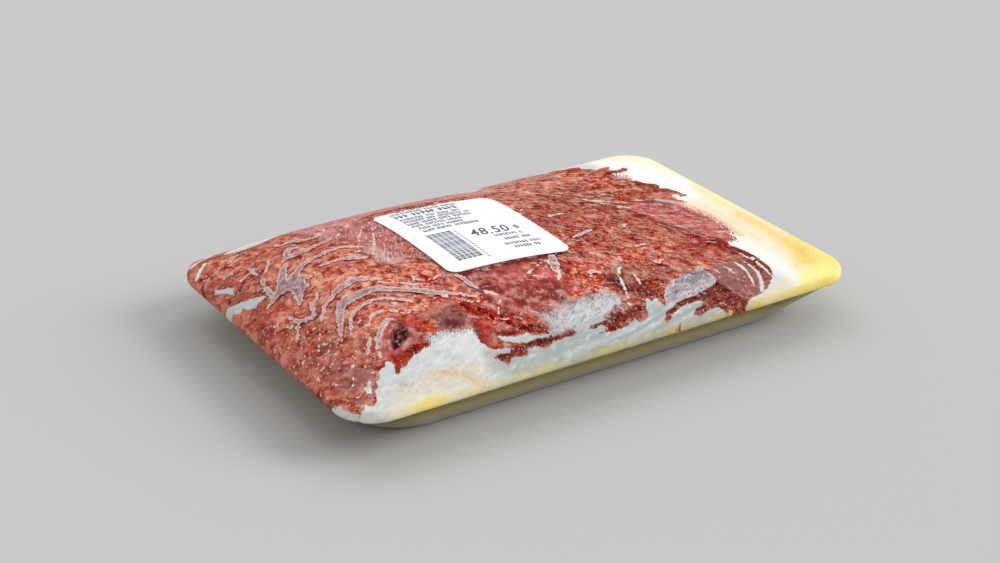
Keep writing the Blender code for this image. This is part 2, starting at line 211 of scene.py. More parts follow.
# Hair-thin lines where the film is creased tight, as points. They are drawn as pale lines, painted
# highlights.
CREASES = (
    ((-63, -14), (-60, -19), (-57, -22.5), (-53, -25), (-50, -26)),
    ((-67, -12), (-63, -18.5), (-58, -21)),
    ((-58, -26), (-56, -23), (-54, -19), (-55, -16)),
    ((-60, -32), (-56, -34), (-52, -33.5), (-47, -38), (-42, -41), (-36, -40.4)),
    ((-52, -31), (-49, -35), (-45, -39), (-41, -45)),
    ((-97, -30), (-92, -22), (-88.5, -17)),
    ((-80, -34), (-82, -31), (-80.5, -29)),
    ((-70, -24), (-68, -29), (-64, -33)),
    ((-58, -21), (-53, -21), (-49, -24), (-45.5, -22)),
    ((-33, -42), (-36, -45), (-38, -48.5)),
    ((-44, -48), (-40, -50), (-35, -51.6)),
    ((-20, -35.4), (-12, -31.4), (-4, -27.4), (1, -24.6)),
    ((-17, -36.8), (-9, -32.6), (-2, -28.6)),
    ((-8, -40), (-3, -33), (-1.6, -29)),
    ((22.6, 45), (26, 40), (31, 36.4), (38.6, 30), (45, 25), (54, 20.6), (62.6, 16.8)),
    ((46, 24.4), (52, 18), (58, 13.6)),
    ((12, 21), (20, 20.6), (28, 22)),
    ((9.6, 12), (13, 16), (18, 18)),
    ((55, 27), (63, 30), (73, 33.4)),
    ((66, 20), (72, 18.4), (79, 18)),
    ((-58, 2), (-52, 12), (-46, 24)),
    ((-60, 9), (-53, 21), (-46, 31)),
    ((-63, 22), (-55, 31), (-47, 37.4)),
    ((-66, 33), (-58, 39), (-48, 42)),
    ((-96, 22), (-93.6, 14), (-93, 9)),
    ((-67, 13.6), (-62, 11.4), (-59.4, 8.6)),
)


WHITE = (255, 255, 255)
EVERYWHERE = 400


def brush(colour, strength, reach, soft, *points, area=False):
    """One soft stroke of colour: reach is its half width and soft the width of its edge."""
    return {
        "colour": colour, "strength": strength, "reach": reach, "soft": soft, "points": points, "area": area,
    }


def patch(colour, strength, soft, *points):
    """A whole area of colour with a soft edge."""
    return brush(colour, strength, 0, soft, *points, area=True)


def mask(strength, soft, *points):
    """An area where an effect is to show, with a soft edge."""
    return patch(WHITE, strength, soft, *points)


# Thin haze of the film over the meat. Some of its strokes are painted light: glints and highlights, and shade
# and shadow.
VEIL_AND_PAINTED_LIGHT = (
    patch((246, 206, 186), 0.09, 12, (-94, -48), (-76, -50), (-58, -30), (-60, 4), (-92, 6)),
    patch((246, 206, 186), 0.09, 12, (-92, 6), (-66, 6), (-62, 40), (-66, 58), (-90, 56)),
    patch((176, 112, 110), 0.42, 8, (-100, -34), (-94, -40), (-88, -48), (-86, -58), (-94, -62),
          (-102, -52)),
    # The far side.
    patch((206, 134, 128), 0.90, 7, (-64, 24), (-56, 22), (-46, 36), (-38, 42), (12, 40), (24, 46),
          (24, 72), (-74, 72), (-66, 44)),
    # A painted highlight along the crest.
    brush((248, 240, 238), 0.85, 0.5, 2.2, (2, 57.4), (8, 57.6), (15, 57.4)),
    patch((224, 160, 146), 0.55, 5, (18, 52), (30, 55), (50, 57), (60, 58), (60, 66), (16, 66)),
    # Left of the label.
    patch((190, 112, 106), 0.92, 4, (-60, 26), (-52, 30), (-40, 34), (-40, -14), (-46, -8), (-50, -5),
          (-54, 4), (-57, 10), (-58, 18)),
    patch((204, 156, 150), 0.95, 3, (-60, 10), (-54, 10), (-51, 2), (-49, -4), (-51, -8), (-56, -7),
          (-59, -2), (-58, 4)),
    brush((92, 30, 38), 0.80, 0.8, 3, (-47, -2), (-43.5, -4.4), (-42.5, -8)),
    brush((110, 46, 52), 0.70, 0.8, 2.6, (-49, 22.6), (-43, 22)),
    brush((84, 34, 44), 0.75, 0.7, 2.4, (-48, 9.8), (-43.6, 8)),
    brush((104, 40, 44), 0.70, 0.7, 2.4, (-49, -9), (-43, -12)),
    brush((196, 34, 26), 0.70, 0.8, 2.6, (-50, -3), (-45, 0), (-43, 4)),
    # Below the label.
    patch((172, 80, 72), 0.88, 6, (-39, -25), (-2, -25), (0, -34), (-9, -44), (-13, -52), (-26, -54),
          (-36, -48), (-38, -40)),
    patch((138, 54, 48), 0.85, 8, (-33, -39), (-12, -39), (-10, -45), (-14, -51), (-30, -50)),
    # Painted shadow of the label's near edge on the film.
    brush((74, 26, 28), 0.90, 0.9, 3, (-40, -25.6), (-24, -25.8), (-6, -25.8), (6, -24.8)),
    brush((96, 36, 40), 0.80, 1.5, 4, (-33.5, -31), (-34.5, -35)),
    brush((98, 30, 32), 0.85, 1.0, 4, (-10.5, -42), (-12, -46), (-13.6, -51)),
    brush((214, 120, 104), 0.70, 1.2, 4, (-24, -32), (-12, -33), (-8, -37)),
    brush((202, 84, 66), 0.75, 1.0, 4, (-14, -34), (-8, -38), (-6, -44)),
    brush((212, 140, 122), 0.60, 1.2, 4, (-33, -47), (-27, -51)),
    patch((150, 92, 92), 0.70, 5, (-60, -41), (-50, -40), (-48, -46), (-50, -49), (-61, -48)),
    brush((98, 38, 42), 0.80, 1.4, 4, (-55, -45.5), (-53, -47.5)),
    brush((196, 124, 118), 0.60, 1.4, 4, (-64, -41), (-56, -38.5), (-50, -38)),
    # Haze where the film lifts off slowly.
    patch((196, 186, 188), 0.88, 6, (-24, -53), (-12, -51), (2, -50), (8, -51), (8.4, -56), (0, -59),
          (-10, -61), (-24, -61)),
    # A hollow under folds: its near-black middle is painted shade.
    patch((184, 88, 80), 0.85, 2.4, (-83, -50), (-81, -43), (-76, -36.6), (-71.4, -35.6), (-69.6, -38),
          (-68, -44), (-67, -49), (-75, -49.6)),
    patch((48, 8, 14), 1.0, 1.2, (-79, -49), (-77.6, -45), (-74.8, -41), (-71.4, -39.8), (-70, -42.6),
          (-70.6, -45), (-73, -46.8), (-76, -48.4)),
    patch((128, 44, 44), 0.85, 1.6, (-76, -43.2), (-74, -41), (-72, -40.4), (-73.4, -42)),
    brush((232, 176, 166), 0.85, 0.25, 1.0, (-79.4, -47.4), (-77, -42), (-73.4, -38.8)),
    brush((228, 164, 154), 0.85, 0.25, 1.0, (-82, -45.6), (-79, -40.6), (-75.6, -37.4), (-72, -36.4)),
    brush((198, 140, 138), 0.80, 0.5, 1.4, (-75, -49), (-72.6, -47.6), (-69.4, -46.4), (-66.8, -47)),
    # Thin film over pale meat at the near right.
    patch((150, 98, 92), 0.72, 3, (53, -47), (58, -43), (66, -44), (70.6, -48), (70, -56), (66, -63),
          (60, -66.6), (55, -66), (51.4, -60), (51, -53)),
    brush((192, 150, 146), 0.80, 0.3, 1.2, (52.6, -58), (52.4, -62), (54.2, -66.4)),
    # Glints at the far left corner.
    brush((252, 244, 240), 0.95, 0.7, 1.6, (-103.6, 52), (-100.6, 55.4), (-97, 59)),
    brush((252, 244, 240), 0.95, 0.5, 1.4, (-101.6, 61.6), (-97, 64), (-92, 64.6)),
    brush((252, 244, 240), 0.80, 0.4, 1.4, (-93, 52.4), (-89, 50.4), (-85, 49.4)),
    brush((250, 236, 230), 0.75, 0.3, 1.2, (-99, 47), (-95, 48.6), (-91, 48)),
    brush((246, 226, 220), 0.70, 0.3, 1.2, (-104, 44), (-101, 47)),
    # A wiped smear at the right.
    patch((196, 100, 88), 0.92, 6, (58, 12), (66, 16), (72, 17), (88, 14), (98, 5), (99, -7), (96, -19),
          (86, -26), (76, -25), (70, -18), (64, -6)),
    brush((120, 50, 48), 0.92, 0.8, 2.6, (64, 12), (70, 6), (76, 1), (80, -5), (82, -12)),
    brush((134, 64, 60), 0.85, 1.1, 3.0, (66, -9), (71, -13), (74, -20)),
    brush((216, 132, 114), 0.75, 0.5, 2.2, (64, 1), (71, -6), (77, -16), (79, -22)),
    brush((126, 48, 42), 0.85, 0.4, 1.8, (60, 6), (68, -2), (74, -11), (78, -20)),
    brush((150, 60, 52), 0.80, 0.5, 2.0, (70, 13), (77, 8), (82, 1), (85, -7)),
    brush((120, 44, 38), 0.75, 0.4, 1.8, (62, -4), (68, -10), (72, -17)),
    brush((150, 74, 70), 0.80, 0.8, 2.8, (79, 6), (83, -4), (85, -14)),
    brush((206, 130, 108), 0.85, 0.7, 2.6, (83, 10), (87, -2), (87, -12)),
    brush((210, 60, 44), 0.85, 0.5, 1.8, (67, 8), (73, 6), (78, 3)),
    patch((110, 66, 58), 0.92, 5, (70, 17), (76, 18.6), (82, 15), (82, 11), (75, 10)),
    brush((214, 50, 34), 0.85, 0.9, 2.2, (83, 19), (85.6, 15), (86, 11.6)),
    brush((232, 190, 180), 0.90, 1.2, 5, (79, 17), (86, 10), (91, 0), (91, -10), (87, -22)),
    patch((222, 160, 158), 0.85, 5, (76, 44), (81, 42), (85, 44), (82, 48), (77, 49)),
    brush((222, 150, 118), 0.75, 1.0, 3, (48, 23), (56, 20), (62, 17)),
    brush((206, 86, 62), 0.80, 0.8, 2.4, (62, 18), (68, 14), (72, 10)),
    # Painted highlights along stretch ridges of the film.
    brush((230, 204, 196), 0.90, 0.25, 1.4, (20, 45.4), (31, 36.4), (45, 25), (56, 19.6)),
    brush((226, 196, 186), 0.80, 0.2, 1.2, (46, 24.6), (56, 16), (60, 12)),
)

# What shows where the film stands clear of the meat: fog, and where it is thin, what lies behind. Some
# strokes are painted light: shade and highlights along stretch ridges and in a crumpled pocket, and a
# highlight at the far left.
FOG_AND_PAINTED_LIGHT = (
    brush((216, 221, 219), 1.0, EVERYWHERE, 10, (0, 0), (1, 0)),
    patch((176, 184, 181), 0.95, 7, (-50, -60), (-20, -58), (20, -58), (52, -64), (58, -74), (-40, -74),
          (-52, -66)),
    # Darker and paler streaks beside the stretch ridges along the near rim: painted shade and painted
    # highlights.
    brush((156, 170, 172), 0.70, 0.8, 4, (-30, -65.4), (-16, -64.6), (-6, -66)),
    brush((206, 214, 212), 0.75, 0.5, 2.4, (-24, -68), (-4, -67.4), (14, -64.6)),
    brush((146, 158, 160), 0.75, 0.3, 1.8, (-14, -68.8), (4, -67.6), (20, -64.4)),
    brush((214, 220, 218), 0.75, 0.3, 1.6, (2, -68.8), (18, -66), (30, -63.6)),
    brush((142, 154, 156), 0.75, 0.3, 1.6, (12, -69), (24, -66.4), (38, -63.4)),
    brush((212, 218, 216), 0.75, 0.3, 1.6, (22, -69), (32, -66.6), (42, -65)),
    patch((202, 203, 205), 0.90, 5, (-24, -53.6), (-12, -50), (8, -50), (9, -56), (-2, -59.4),
          (-24, -60.4)),
    patch((228, 228, 226), 0.80, 5, (-68, -52), (-52, -51), (-51, -57), (-56, -59), (-68, -57)),
    brush((204, 206, 212), 0.60, 1.4, 4, (-66, -55), (-62, -57)),
    brush((224, 216, 198), 0.85, 2.4, 6, (-92, -65.6), (-72, -64), (-56, -65)),
    brush((236, 233, 224), 0.90, 2.0, 4, (-106.6, -50), (-104, -60), (-99, -67)),
    patch((166, 154, 160), 1.0, 4, (24, -60), (28, -54), (34, -49), (50, -43), (52, -52), (46, -57),
          (34, -60)),
    # Painted shade in the crumpled pocket, then its folds as dark lines of painted shade and pale lines of
    # painted highlight.
    brush((138, 120, 130), 0.85, 1.4, 3.4, (39, -51.4), (45, -50.0), (50, -47.4)),
    brush((112, 94, 104), 0.85, 0.2, 1.2, (38.6, -50), (43, -48.8), (47.6, -47.8)),
    brush((118, 98, 108), 0.80, 0.2, 1.1, (41, -53), (44, -51.8), (47, -51.6)),
    brush((120, 104, 112), 0.75, 0.2, 1.1, (34.6, -54.4), (37, -53), (39.6, -53.4)),
    brush((126, 108, 116), 0.70, 0.2, 1.1, (31.6, -56), (34, -55)),
    brush((226, 214, 220), 0.80, 0.4, 1.6, (31, -58.4), (38, -56.8), (46, -55)),
    brush((222, 208, 214), 0.75, 0.3, 1.4, (40, -49.4), (45, -47.4), (49.6, -45.4)),
    # A painted highlight: the film at the far left is painted white.
    patch((251, 251, 251), 0.90, 5, (-90, 60), (-70, 54), (-66, 62), (-84, 72), (-96, 68)),
    patch((254, 254, 252), 1.0, 8, (77, -70), (77, -30), (84, 6), (80, 72), (108, 72), (108, -40)),
)

# Yellow foam that shows where the film is wiped thin, and the film's tints along the rim.
STAIN = (
    patch((253, 240, 216), 0.72, 10, (83, -40), (86, -10), (90, 14), (98, 14), (101, -14), (101, -60),
          (86, -60)),
    brush((232, 186, 120), 0.92, 0.8, 6, (84, 14), (86.4, 6), (88, -4), (87.4, -14), (85.4, -24)),
    brush((246, 222, 168), 0.55, 1.0, 6, (88, 12), (92, 0), (92, -16), (90, -30)),
    patch((254, 252, 246), 0.90, 7, (78, -34), (84, -32), (87, -42), (86, -54), (78, -54)),
    brush((253, 236, 164), 0.85, 2.0, 9, (101, 24), (100.4, 0), (99, -24), (97, -44)),
    patch((254, 246, 168), 0.95, 16, (74, -72), (84, -61), (92, -54), (108, -50), (108, -78), (74, -78)),
    patch((252, 230, 132), 0.90, 13, (92, -60), (91, -48), (97, -36), (108, -30), (108, -62)),
    brush((250, 212, 128), 0.70, 2.0, 9, (99, -8), (99, -26), (97.6, -42)),
    brush((248, 196, 90), 0.85, 1.8, 8, (97.4, -45), (95.6, -50), (93, -54)),
    brush((254, 250, 156), 0.80, 1.5, 9, (85, -66), (92, -64), (98, -60)),
    brush((251, 224, 116), 0.75, 1.2, 7, (87, -55), (91, -53), (96, -51)),
    brush((252, 238, 128), 0.85, 1.0, 5, (103.4, -60), (100, -66), (92, -69)),
    brush((253, 238, 128), 0.95, 0.8, 3.4, (103.4, -60), (103.8, -40), (103.8, -16)),
    brush((253, 246, 166), 0.95, 0.8, 3.4, (103.8, -16), (103.8, 20), (103.8, 50)),
    brush((253, 248, 188), 0.90, 1.0, 5, (103.6, 50), (101.6, 60), (97, 66), (86, 68.6), (66, 69.6)),
    brush((252, 250, 206), 0.60, 2.0, 7, (101, 40), (96, 62), (86, 66)),
    # Along the near rim.
    brush((250, 238, 206), 0.80, 0.4, 10, (-96, -69.6), (-78, -68), (-60, -69.6)),
    brush((238, 222, 160), 0.80, 0.2, 3.4, (-92, -69.8), (-60, -69.8), (-30, -69.8)),
    brush((204, 190, 126), 0.90, 0.6, 3.4, (-34, -70), (0, -69.8), (60, -69.8)),
    brush((252, 232, 140), 0.95, 0.4, 9, (-84, -70.6), (-78, -69.8), (-71, -70.6)),
    brush((252, 226, 96), 1.0, 0.3, 4.6, (-82.6, -70.0), (-77, -69.2), (-71.6, -70.0)),
    brush((244, 220, 124), 0.95, 0.3, 4.4, (-66, -70.4), (-44, -69.8), (-24, -70.4)),
    brush((226, 204, 98), 0.95, 0.3, 3.4, (-20, -70.6), (-8, -69.6), (4, -70.6)),
    brush((206, 186, 96), 0.95, 0.3, 3.2, (10, -70.4), (20, -69.6), (30, -70.6)),
    brush((226, 202, 92), 0.95, 0.3, 3.6, (36, -70.4), (48, -69.4), (60, -70.4)),
    brush((244, 214, 96), 0.95, 1.3, 4.2, (58, -70.2), (76, -69.8), (94, -69.0)),
    brush((230, 208, 168), 0.60, 1.4, 5, (-74, -61.6), (-66, -63.6), (-60, -66), (-56, -69.6)),
    brush((206, 150, 100), 0.55, 0.2, 1.8, (-68, -62.2), (-62.6, -64.6), (-58.6, -68)),
    brush((208, 160, 120), 0.45, 0.2, 1.6, (-71, -61.2), (-66, -62.0), (-61, -64.0), (-57, -67.2)),
    brush((206, 150, 118), 0.65, 0.5, 2.4, (-51, -60.6), (-47, -61.2)),
    brush((222, 190, 146), 0.50, 0.6, 3, (-64, -61.4), (-56, -62.6), (-49, -66)),
    brush((196, 110, 88), 0.35, 0.8, 3, (-84, -61), (-81, -62.4)),
    brush((246, 224, 176), 0.60, 1.2, 5, (62, -68.6), (70, -65.6), (78, -61)),
)

# Colour of the mince itself, where it is brighter or duskier than the rest. The left end is also painted
# lighter, as painted light.
BLOOM_AND_PAINTED_LIGHT = (
    patch((186, 60, 40), 0.35, 14, (-66, 10), (-80, 22), (-92, 30), (-84, 50), (-70, 44), (-62, 26)),
    brush((204, 40, 20), 0.95, 1.9, 2.4, (-70.6, -37), (-67.6, -41), (-66.4, -45)),
    brush((200, 36, 16), 0.95, 1.6, 2.4, (-66, -39.6), (-63.6, -42.6), (-62.6, -45.4)),
    brush((198, 36, 20), 0.95, 1.8, 2.6, (-82, -56), (-80, -53), (-74, -51.6), (-67.4, -51)),
    brush((186, 40, 22), 0.85, 2.6, 4, (-49, -56), (-46, -52), (-44, -47), (-46, -41)),
    brush((190, 44, 24), 0.75, 1.4, 3, (-70, 19), (-62, 21), (-60, 17)),
    brush((190, 44, 24), 0.75, 1.2, 3, (-66, 13), (-61, 11), (-60, 8)),
    brush((186, 30, 14), 0.90, 2.0, 4, (-42, -46), (-36, -50), (-28, -52.6)),
    brush((168, 28, 14), 0.92, 1.8, 3.4, (-42, -56), (-33, -56.6), (-25, -58.2)),
    brush((140, 18, 10), 0.95, 1.8, 3, (-47, -63), (-40, -62.6), (-30, -62), (-16, -61.6)),
    brush((126, 24, 14), 0.88, 2.6, 5, (-6, -62.6), (4, -61), (12, -60)),
    brush((126, 32, 22), 0.80, 2.2, 5, (11, -44), (14, -50), (22, -55)),
    brush((132, 14, 8), 0.92, 2.0, 3.4, (20, -65), (30, -61.5), (40, -60), (50, -56)),
    brush((122, 16, 10), 0.92, 2.4, 3.6, (32, -67), (44, -66), (52, -68)),
    brush((176, 26, 12), 0.92, 2.6, 5, (76.6, -52), (77, -42), (74.5, -33), (70, -25), (66, -18)),
    patch((160, 46, 24), 0.50, 10, (50, -28), (62, -22), (72, -26), (76, -38), (60, -40), (44, -38)),
    patch((132, 34, 28), 0.45, 12, (-98, -18), (-90, -14), (-82, -40), (-92, -50), (-102, -44)),
    brush((226, 62, 42), 0.90, 1.2, 2.6, (60, 66.6), (70, 65.6), (76, 61)),
    brush((214, 50, 30), 0.90, 1.4, 2.4, (80, 52), (88, 53.4)),
    brush((190, 44, 26), 0.80, 1.6, 3, (84, 33), (88.6, 32), (87, 30)),
    brush((238, 92, 70), 0.95, 2.2, 4, (52, 68.2), (66, 66.4), (75, 61), (82, 57.6)),
    brush((226, 84, 62), 0.85, 1.6, 3, (84, 36), (90, 29), (92, 21)),
    # Painted light: the left end is painted lighter, where light falls on it.
    patch((216, 96, 76), 0.50, 10, (-108, -70), (-98, -66), (-95, -20), (-97, 20), (-98, 60), (-108, 70)),
    patch((242, 140, 114), 0.34, 24, (-110, -50), (-64, -44), (-50, -20), (-50, 20), (-60, 60), (-110, 70)),
    patch((146, 70, 54), 0.46, 20, (6, -30), (70, -20), (78, 20), (60, 50), (10, 40)),
    patch((158, 58, 46), 0.75, 5, (66, -40), (73, -42), (76.4, -46), (76.6, -56), (72, -64), (64, -68),
          (68, -56)),
    patch((202, 120, 88), 0.45, 12, (76, 20), (92, 26), (86, 36), (72, 34)),
    patch((244, 172, 150), 0.55, 14, (-6, 30), (10, 22), (40, 34), (56, 52), (40, 70), (0, 70)),
    patch((116, 20, 14), 0.80, 5, (38, -60), (46, -57.4), (54, -56), (58, -60), (62, -66), (56, -69),
          (44, -68)),
    patch((112, 44, 34), 0.46, 10, (10, -42), (24, -36), (44, -36), (50, -42), (34, -48), (20, -56),
          (10, -52)),
    patch((172, 40, 22), 0.85, 5, (66, -22), (76, -24), (84, -34), (82.6, -46), (78.6, -56), (73, -50),
          (73, -38), (68, -30)),
)

# Small pale flecks in the film.
FLECKS = (
    mask(0.95, 14, (-108, 4), (-94, 0), (-86, -20), (-84, -52), (-94, -66), (-108, -64)),
    mask(0.55, 16, (-108, 64), (-86, 60), (-84, 30), (-108, 4)),
    mask(0.45, 14, (-48, -40), (-34, -60), (12, -66), (60, -66), (76, -50), (60, -44), (10, -46),
         (-10, -44)),
)

# Where the film is crumpled: the film's colour gets fine lines of painted shade and painted highlight there.
CRINKLES = (
    mask(1.0, 3, (24, -60), (26, -54), (34, -48), (50, -42), (53, -52), (48, -58), (34, -60)),
    mask(0.4, 4, (-84, -50), (-80, -40), (-72, -35), (-68, -40), (-67, -50)),
    mask(0.6, 6, (-62, 28), (-40, 34), (-40, -12), (-50, -6), (-58, 8)),
    mask(0.5, 6, (-24, -50), (-12, -46), (8, -48), (10, -58), (-10, -61), (-24, -61)),
    mask(0.5, 6, (56, 14), (78, 18), (88, 4), (84, -26), (70, -22), (60, -6)),
)

# A net of fine pale lines in the film.
NET = (
    mask(1.0, 4, (18, -52), (26, -58), (22, -68), (8, -68), (4, -60)),
    mask(1.0, 4, (26, -66), (34, -60), (50, -57), (58, -62), (60, -70), (30, -71)),
    mask(0.8, 5, (-44, -66), (-44, -60), (-26, -60), (-4, -58), (-4, -64), (-30, -68)),
    mask(0.8, 5, (-104, -66), (-98, -58), (-90, -58), (-88, -64), (-94, -70)),
)

# Where small pockets bridge between the granules of meat.
BRIDGES = (
    brush(WHITE, 0.10, EVERYWHERE, 10, (0, 0), (1, 0)),
    mask(0.72, 20, (2, -36), (60, -40), (80, -20), (80, 40), (40, 60), (0, 56), (12, 30), (10, -24)),
    mask(0.60, 12, (-62, -12), (-42, -26), (-40, -44), (-62, -36), (-70, -24)),
)

# Stretch ridges of the film, as points: they stand proud and catch the light.
RIDGES = (
    ((-72, -61.5), (-66, -63), (-61, -65.6), (-58, -69)),
    ((-70, -63.5), (-65, -65), (-61.6, -67.4)),
    ((2, -68), (14, -65), (28, -63.4)),
    ((6, -69), (20, -66.4), (34, -63.4)),
    ((14, -69), (28, -65.6), (40, -63.6)),
    ((24, -69.2), (36, -66)),
    ((-30, -67), (-18, -65), (-8, -63.4)),
    ((-22, -68.4), (-8, -66), (4, -64.6)),
    ((-20, -35.4), (-12, -31.4), (-4, -27.4)),
    ((22.6, 45), (31, 36.4), (45, 25), (62.6, 16.8)),
    ((60, -66), (68, -61), (72, -52)),
    ((-58, 2), (-52, 12), (-46, 24)),
    ((-63, 22), (-55, 31), (-47, 37.4)),
)


# ---------------- settings
def srgb(red, green, blue):
    """A colour as seen on a screen, from 0 to 255, as the linear values that shaders take."""
    def linear(value):
        share = value / 255.0
        return share / 12.92 if share <= 0.04045 else ((share + 0.055) / 1.055) ** 2.4

    return (linear(red), linear(green), linear(blue))


def length_setting(name, description, default):
    return FloatProperty(name=name, description=description, default=default * MM, min=0.0, unit="LENGTH")


def colour_setting(name, description, default):
    return FloatVectorProperty(
        name=name, description=description, default=srgb(*default), size=3, min=0.0, max=1.0, subtype="COLOR"
    )


class MinceTraySizes(bpy.types.PropertyGroup):
    """Sizes of the dressed pieces."""

    lip_round: length_setting("Lip round", "Radius of the film's bend over the tray's lip", 1.5)
    ridge_height: length_setting("Ridge height", "How far a stretch ridge stands out of the film", 0.16)
    film_clearance: length_setting("Film clearance", "Gap between the film and the meat pressed to it", 0.20)
    bit_width: length_setting("Mince width", "Middle width of one bit of mince", 3.0)
    bit_length: length_setting("Mince length", "Middle length of one bit of mince", 4.6)
    crevice: length_setting("Crevice depth", "How far the meat drops between the bits", 0.35)
    pocket_drop: length_setting("Pocket depth", "How far the meat lies under the film in a pocket", 0.5)
    paper: length_setting("Paper", "Thickness of the label", 0.2)
    bits: IntProperty(name="Bits of mince", description="Number of lean bits", default=3200, min=0, max=4100)
    fat_bits: IntProperty(name="Bits of fat", description="Number of fat bits", default=1500, min=0, max=4100)


class MinceTrayColours(bpy.types.PropertyGroup):
    """Colours of the materials."""

    foam: colour_setting("Foam", "Yellow polystyrene foam", (250, 226, 118))
    fat: colour_setting("Fat", "Flecks of fat", (232, 176, 146))
    # The crease colour also draws the pale creases, as painted highlights.
    crease: colour_setting("Crease", "Pale outline of a pocket", (240, 220, 214))
    paper: colour_setting("Paper", "Label paper", (250, 250, 251))
    ink: colour_setting("Ink", "Faded thermal print", (50, 54, 76))
    floor: colour_setting("Floor", "Studio floor", (196, 196, 196))


# ---------------- working in the plan
def distance_to(places, line, closed=False):
    """Distance from each place to a line, and where along it the nearest point is, counted in its points."""
    ends = np.asarray([point[:2] for point in line], float)
    starts, ends = (ends, np.roll(ends, -1, axis=0)) if closed else (ends[:-1], ends[1:])
    nearest = np.full(len(places), np.inf)
    where = np.zeros(len(places))
    for index, (start, end) in enumerate(zip(starts, ends)):
        run = end - start
        share = np.clip((places - start) @ run / max(run @ run, 1e-9), 0.0, 1.0)
        gap = np.hypot(*(places - start - share[:, None] * run).T)
        closer = gap < nearest
        nearest[closer] = gap[closer]
        where[closer] = index + share[closer]
    return nearest, where


def within(places, outline):
    """True for each place inside a closed outline."""
    inside = np.zeros(len(places), bool)
    corners = np.asarray(outline, float)
    for (x0, y0), (x1, y1) in zip(corners, np.roll(corners, -1, axis=0)):
        if y0 == y1:
            continue
        crosses = (places[:, 1] > min(y0, y1)) & (places[:, 1] <= max(y0, y1))
        beyond = places[:, 0] < x0 + (places[:, 1] - y0) * (x1 - x0) / (y1 - y0)
        inside ^= crosses & beyond
    return inside


def near_to(places, line, margin):
    """True for each place in the line's own box, widened by a margin."""
    corners = np.asarray([point[:2] for point in line], float)
    low = corners.min(axis=0) - margin
    high = corners.max(axis=0) + margin
    return ((places > low) & (places < high)).all(axis=1)


# How far from an outline depths are still told apart.
FAR = 14.0


def area_depth(places, outline):
    """How deep each place lies inside an outline: negative outside it, and never past FAR."""
    depth = np.full(len(places), -FAR)
    close = near_to(places, outline, FAR)
    gap, _ = distance_to(places[close], outline, closed=True)
    depth[close] = np.where(within(places[close], outline), gap, -gap)
    return np.clip(depth, -FAR, FAR)


def stroke_depth(places, line):
    """How deep each place lies inside a stroke given as (x, y, half width)."""
    depth = np.full(len(places), -FAR)
    close = near_to(places, line, FAR)
    gap, where = distance_to(places[close], line)
    half_width = np.interp(where, np.arange(len(line)), [point[2] for point in line])
    depth[close] = half_width - gap
    return np.clip(depth, -FAR, FAR)


def smooth(share):
    share = np.clip(share, 0.0, 1.0)
    return share * share * (3.0 - 2.0 * share)


def brushed(places, stroke):
    """How strongly one soft stroke covers each place, from 0 to 1."""
    margin = stroke["reach"] + stroke["soft"]
    cover = np.zeros(len(places))
    close = near_to(places, stroke["points"], margin)
    if stroke["area"]:
        depth = area_depth(places[close], stroke["points"])
    else:
        depth = stroke["reach"] - distance_to(places[close], stroke["points"])[0]
    cover[close] = stroke["strength"] * smooth(0.5 + depth / stroke["soft"])
    return cover


def painted(places, strokes):
    """Colour and cover at each place after laying all strokes one over the other."""
    colour = np.zeros((len(places), 3))
    total = np.zeros(len(places))
    for stroke in strokes:
        cover = brushed(places, stroke)
        both = cover + total * (1.0 - cover)
        share = np.divide(cover, both, out=np.zeros_like(cover), where=both > 1e-6)[:, None]
        colour += (np.array(srgb(*stroke["colour"])) - colour) * share
        total = both
    return np.column_stack((colour, total))


STREAK_HEM = 0.06
CREASE_HALF_WIDTH = 0.05


def pressed_depth(places):
    """How deep each place lies inside the meat that is pressed to the film."""
    depth = area_depth(places, MEAT_EDGE)
    for spot in MEAT_SPOTS:
        depth = np.maximum(depth, area_depth(places, spot))
    for gap in FOGGED_GAPS:
        depth = np.minimum(depth, -area_depth(places, gap))
    for streak in AIR_STREAKS:
        depth = np.minimum(depth, -STREAK_HEM - stroke_depth(places, streak))
    return depth


def pocket_depth(places):
    """How deep each place lies inside a pocket or on a crease of the film."""
    depth = np.full(len(places), -FAR)
    for pocket in POCKETS:
        depth = np.maximum(depth, stroke_depth(places, pocket))
    for crease in CREASES:
        depth = np.maximum(depth, CREASE_HALF_WIDTH - distance_to(places, crease)[0])
    return depth


# ---------------- the mound
def crown(x, y):
    """How far the film stands above the rim's top."""
    along = x / HALF_LENGTH
    along = along + CROWN_SHIFT * (1.0 - along * along)
    fall_x = np.clip(1.0 - np.abs(along) ** CROWN_SQUARENESS_X, 0.0, 1.0)
    fall_y = np.clip(1.0 - np.abs(y / HALF_WIDTH) ** CROWN_SQUARENESS_Y, 0.0, 1.0)
    return CROWN * fall_x * fall_y


def film_top(x, y):
    return RIM_TOP + crown(x, y)


SLOPE_STEP = 0.3


def film_normal(x, y):
    step = SLOPE_STEP
    slope_x = (film_top(x + step, y) - film_top(x - step, y)) / (2 * step)
    slope_y = (film_top(x, y + step) - film_top(x, y - step)) / (2 * step)
    normal = np.column_stack((-slope_x, -slope_y, np.ones_like(slope_x)))
    return normal / np.linalg.norm(normal, axis=1)[:, None]


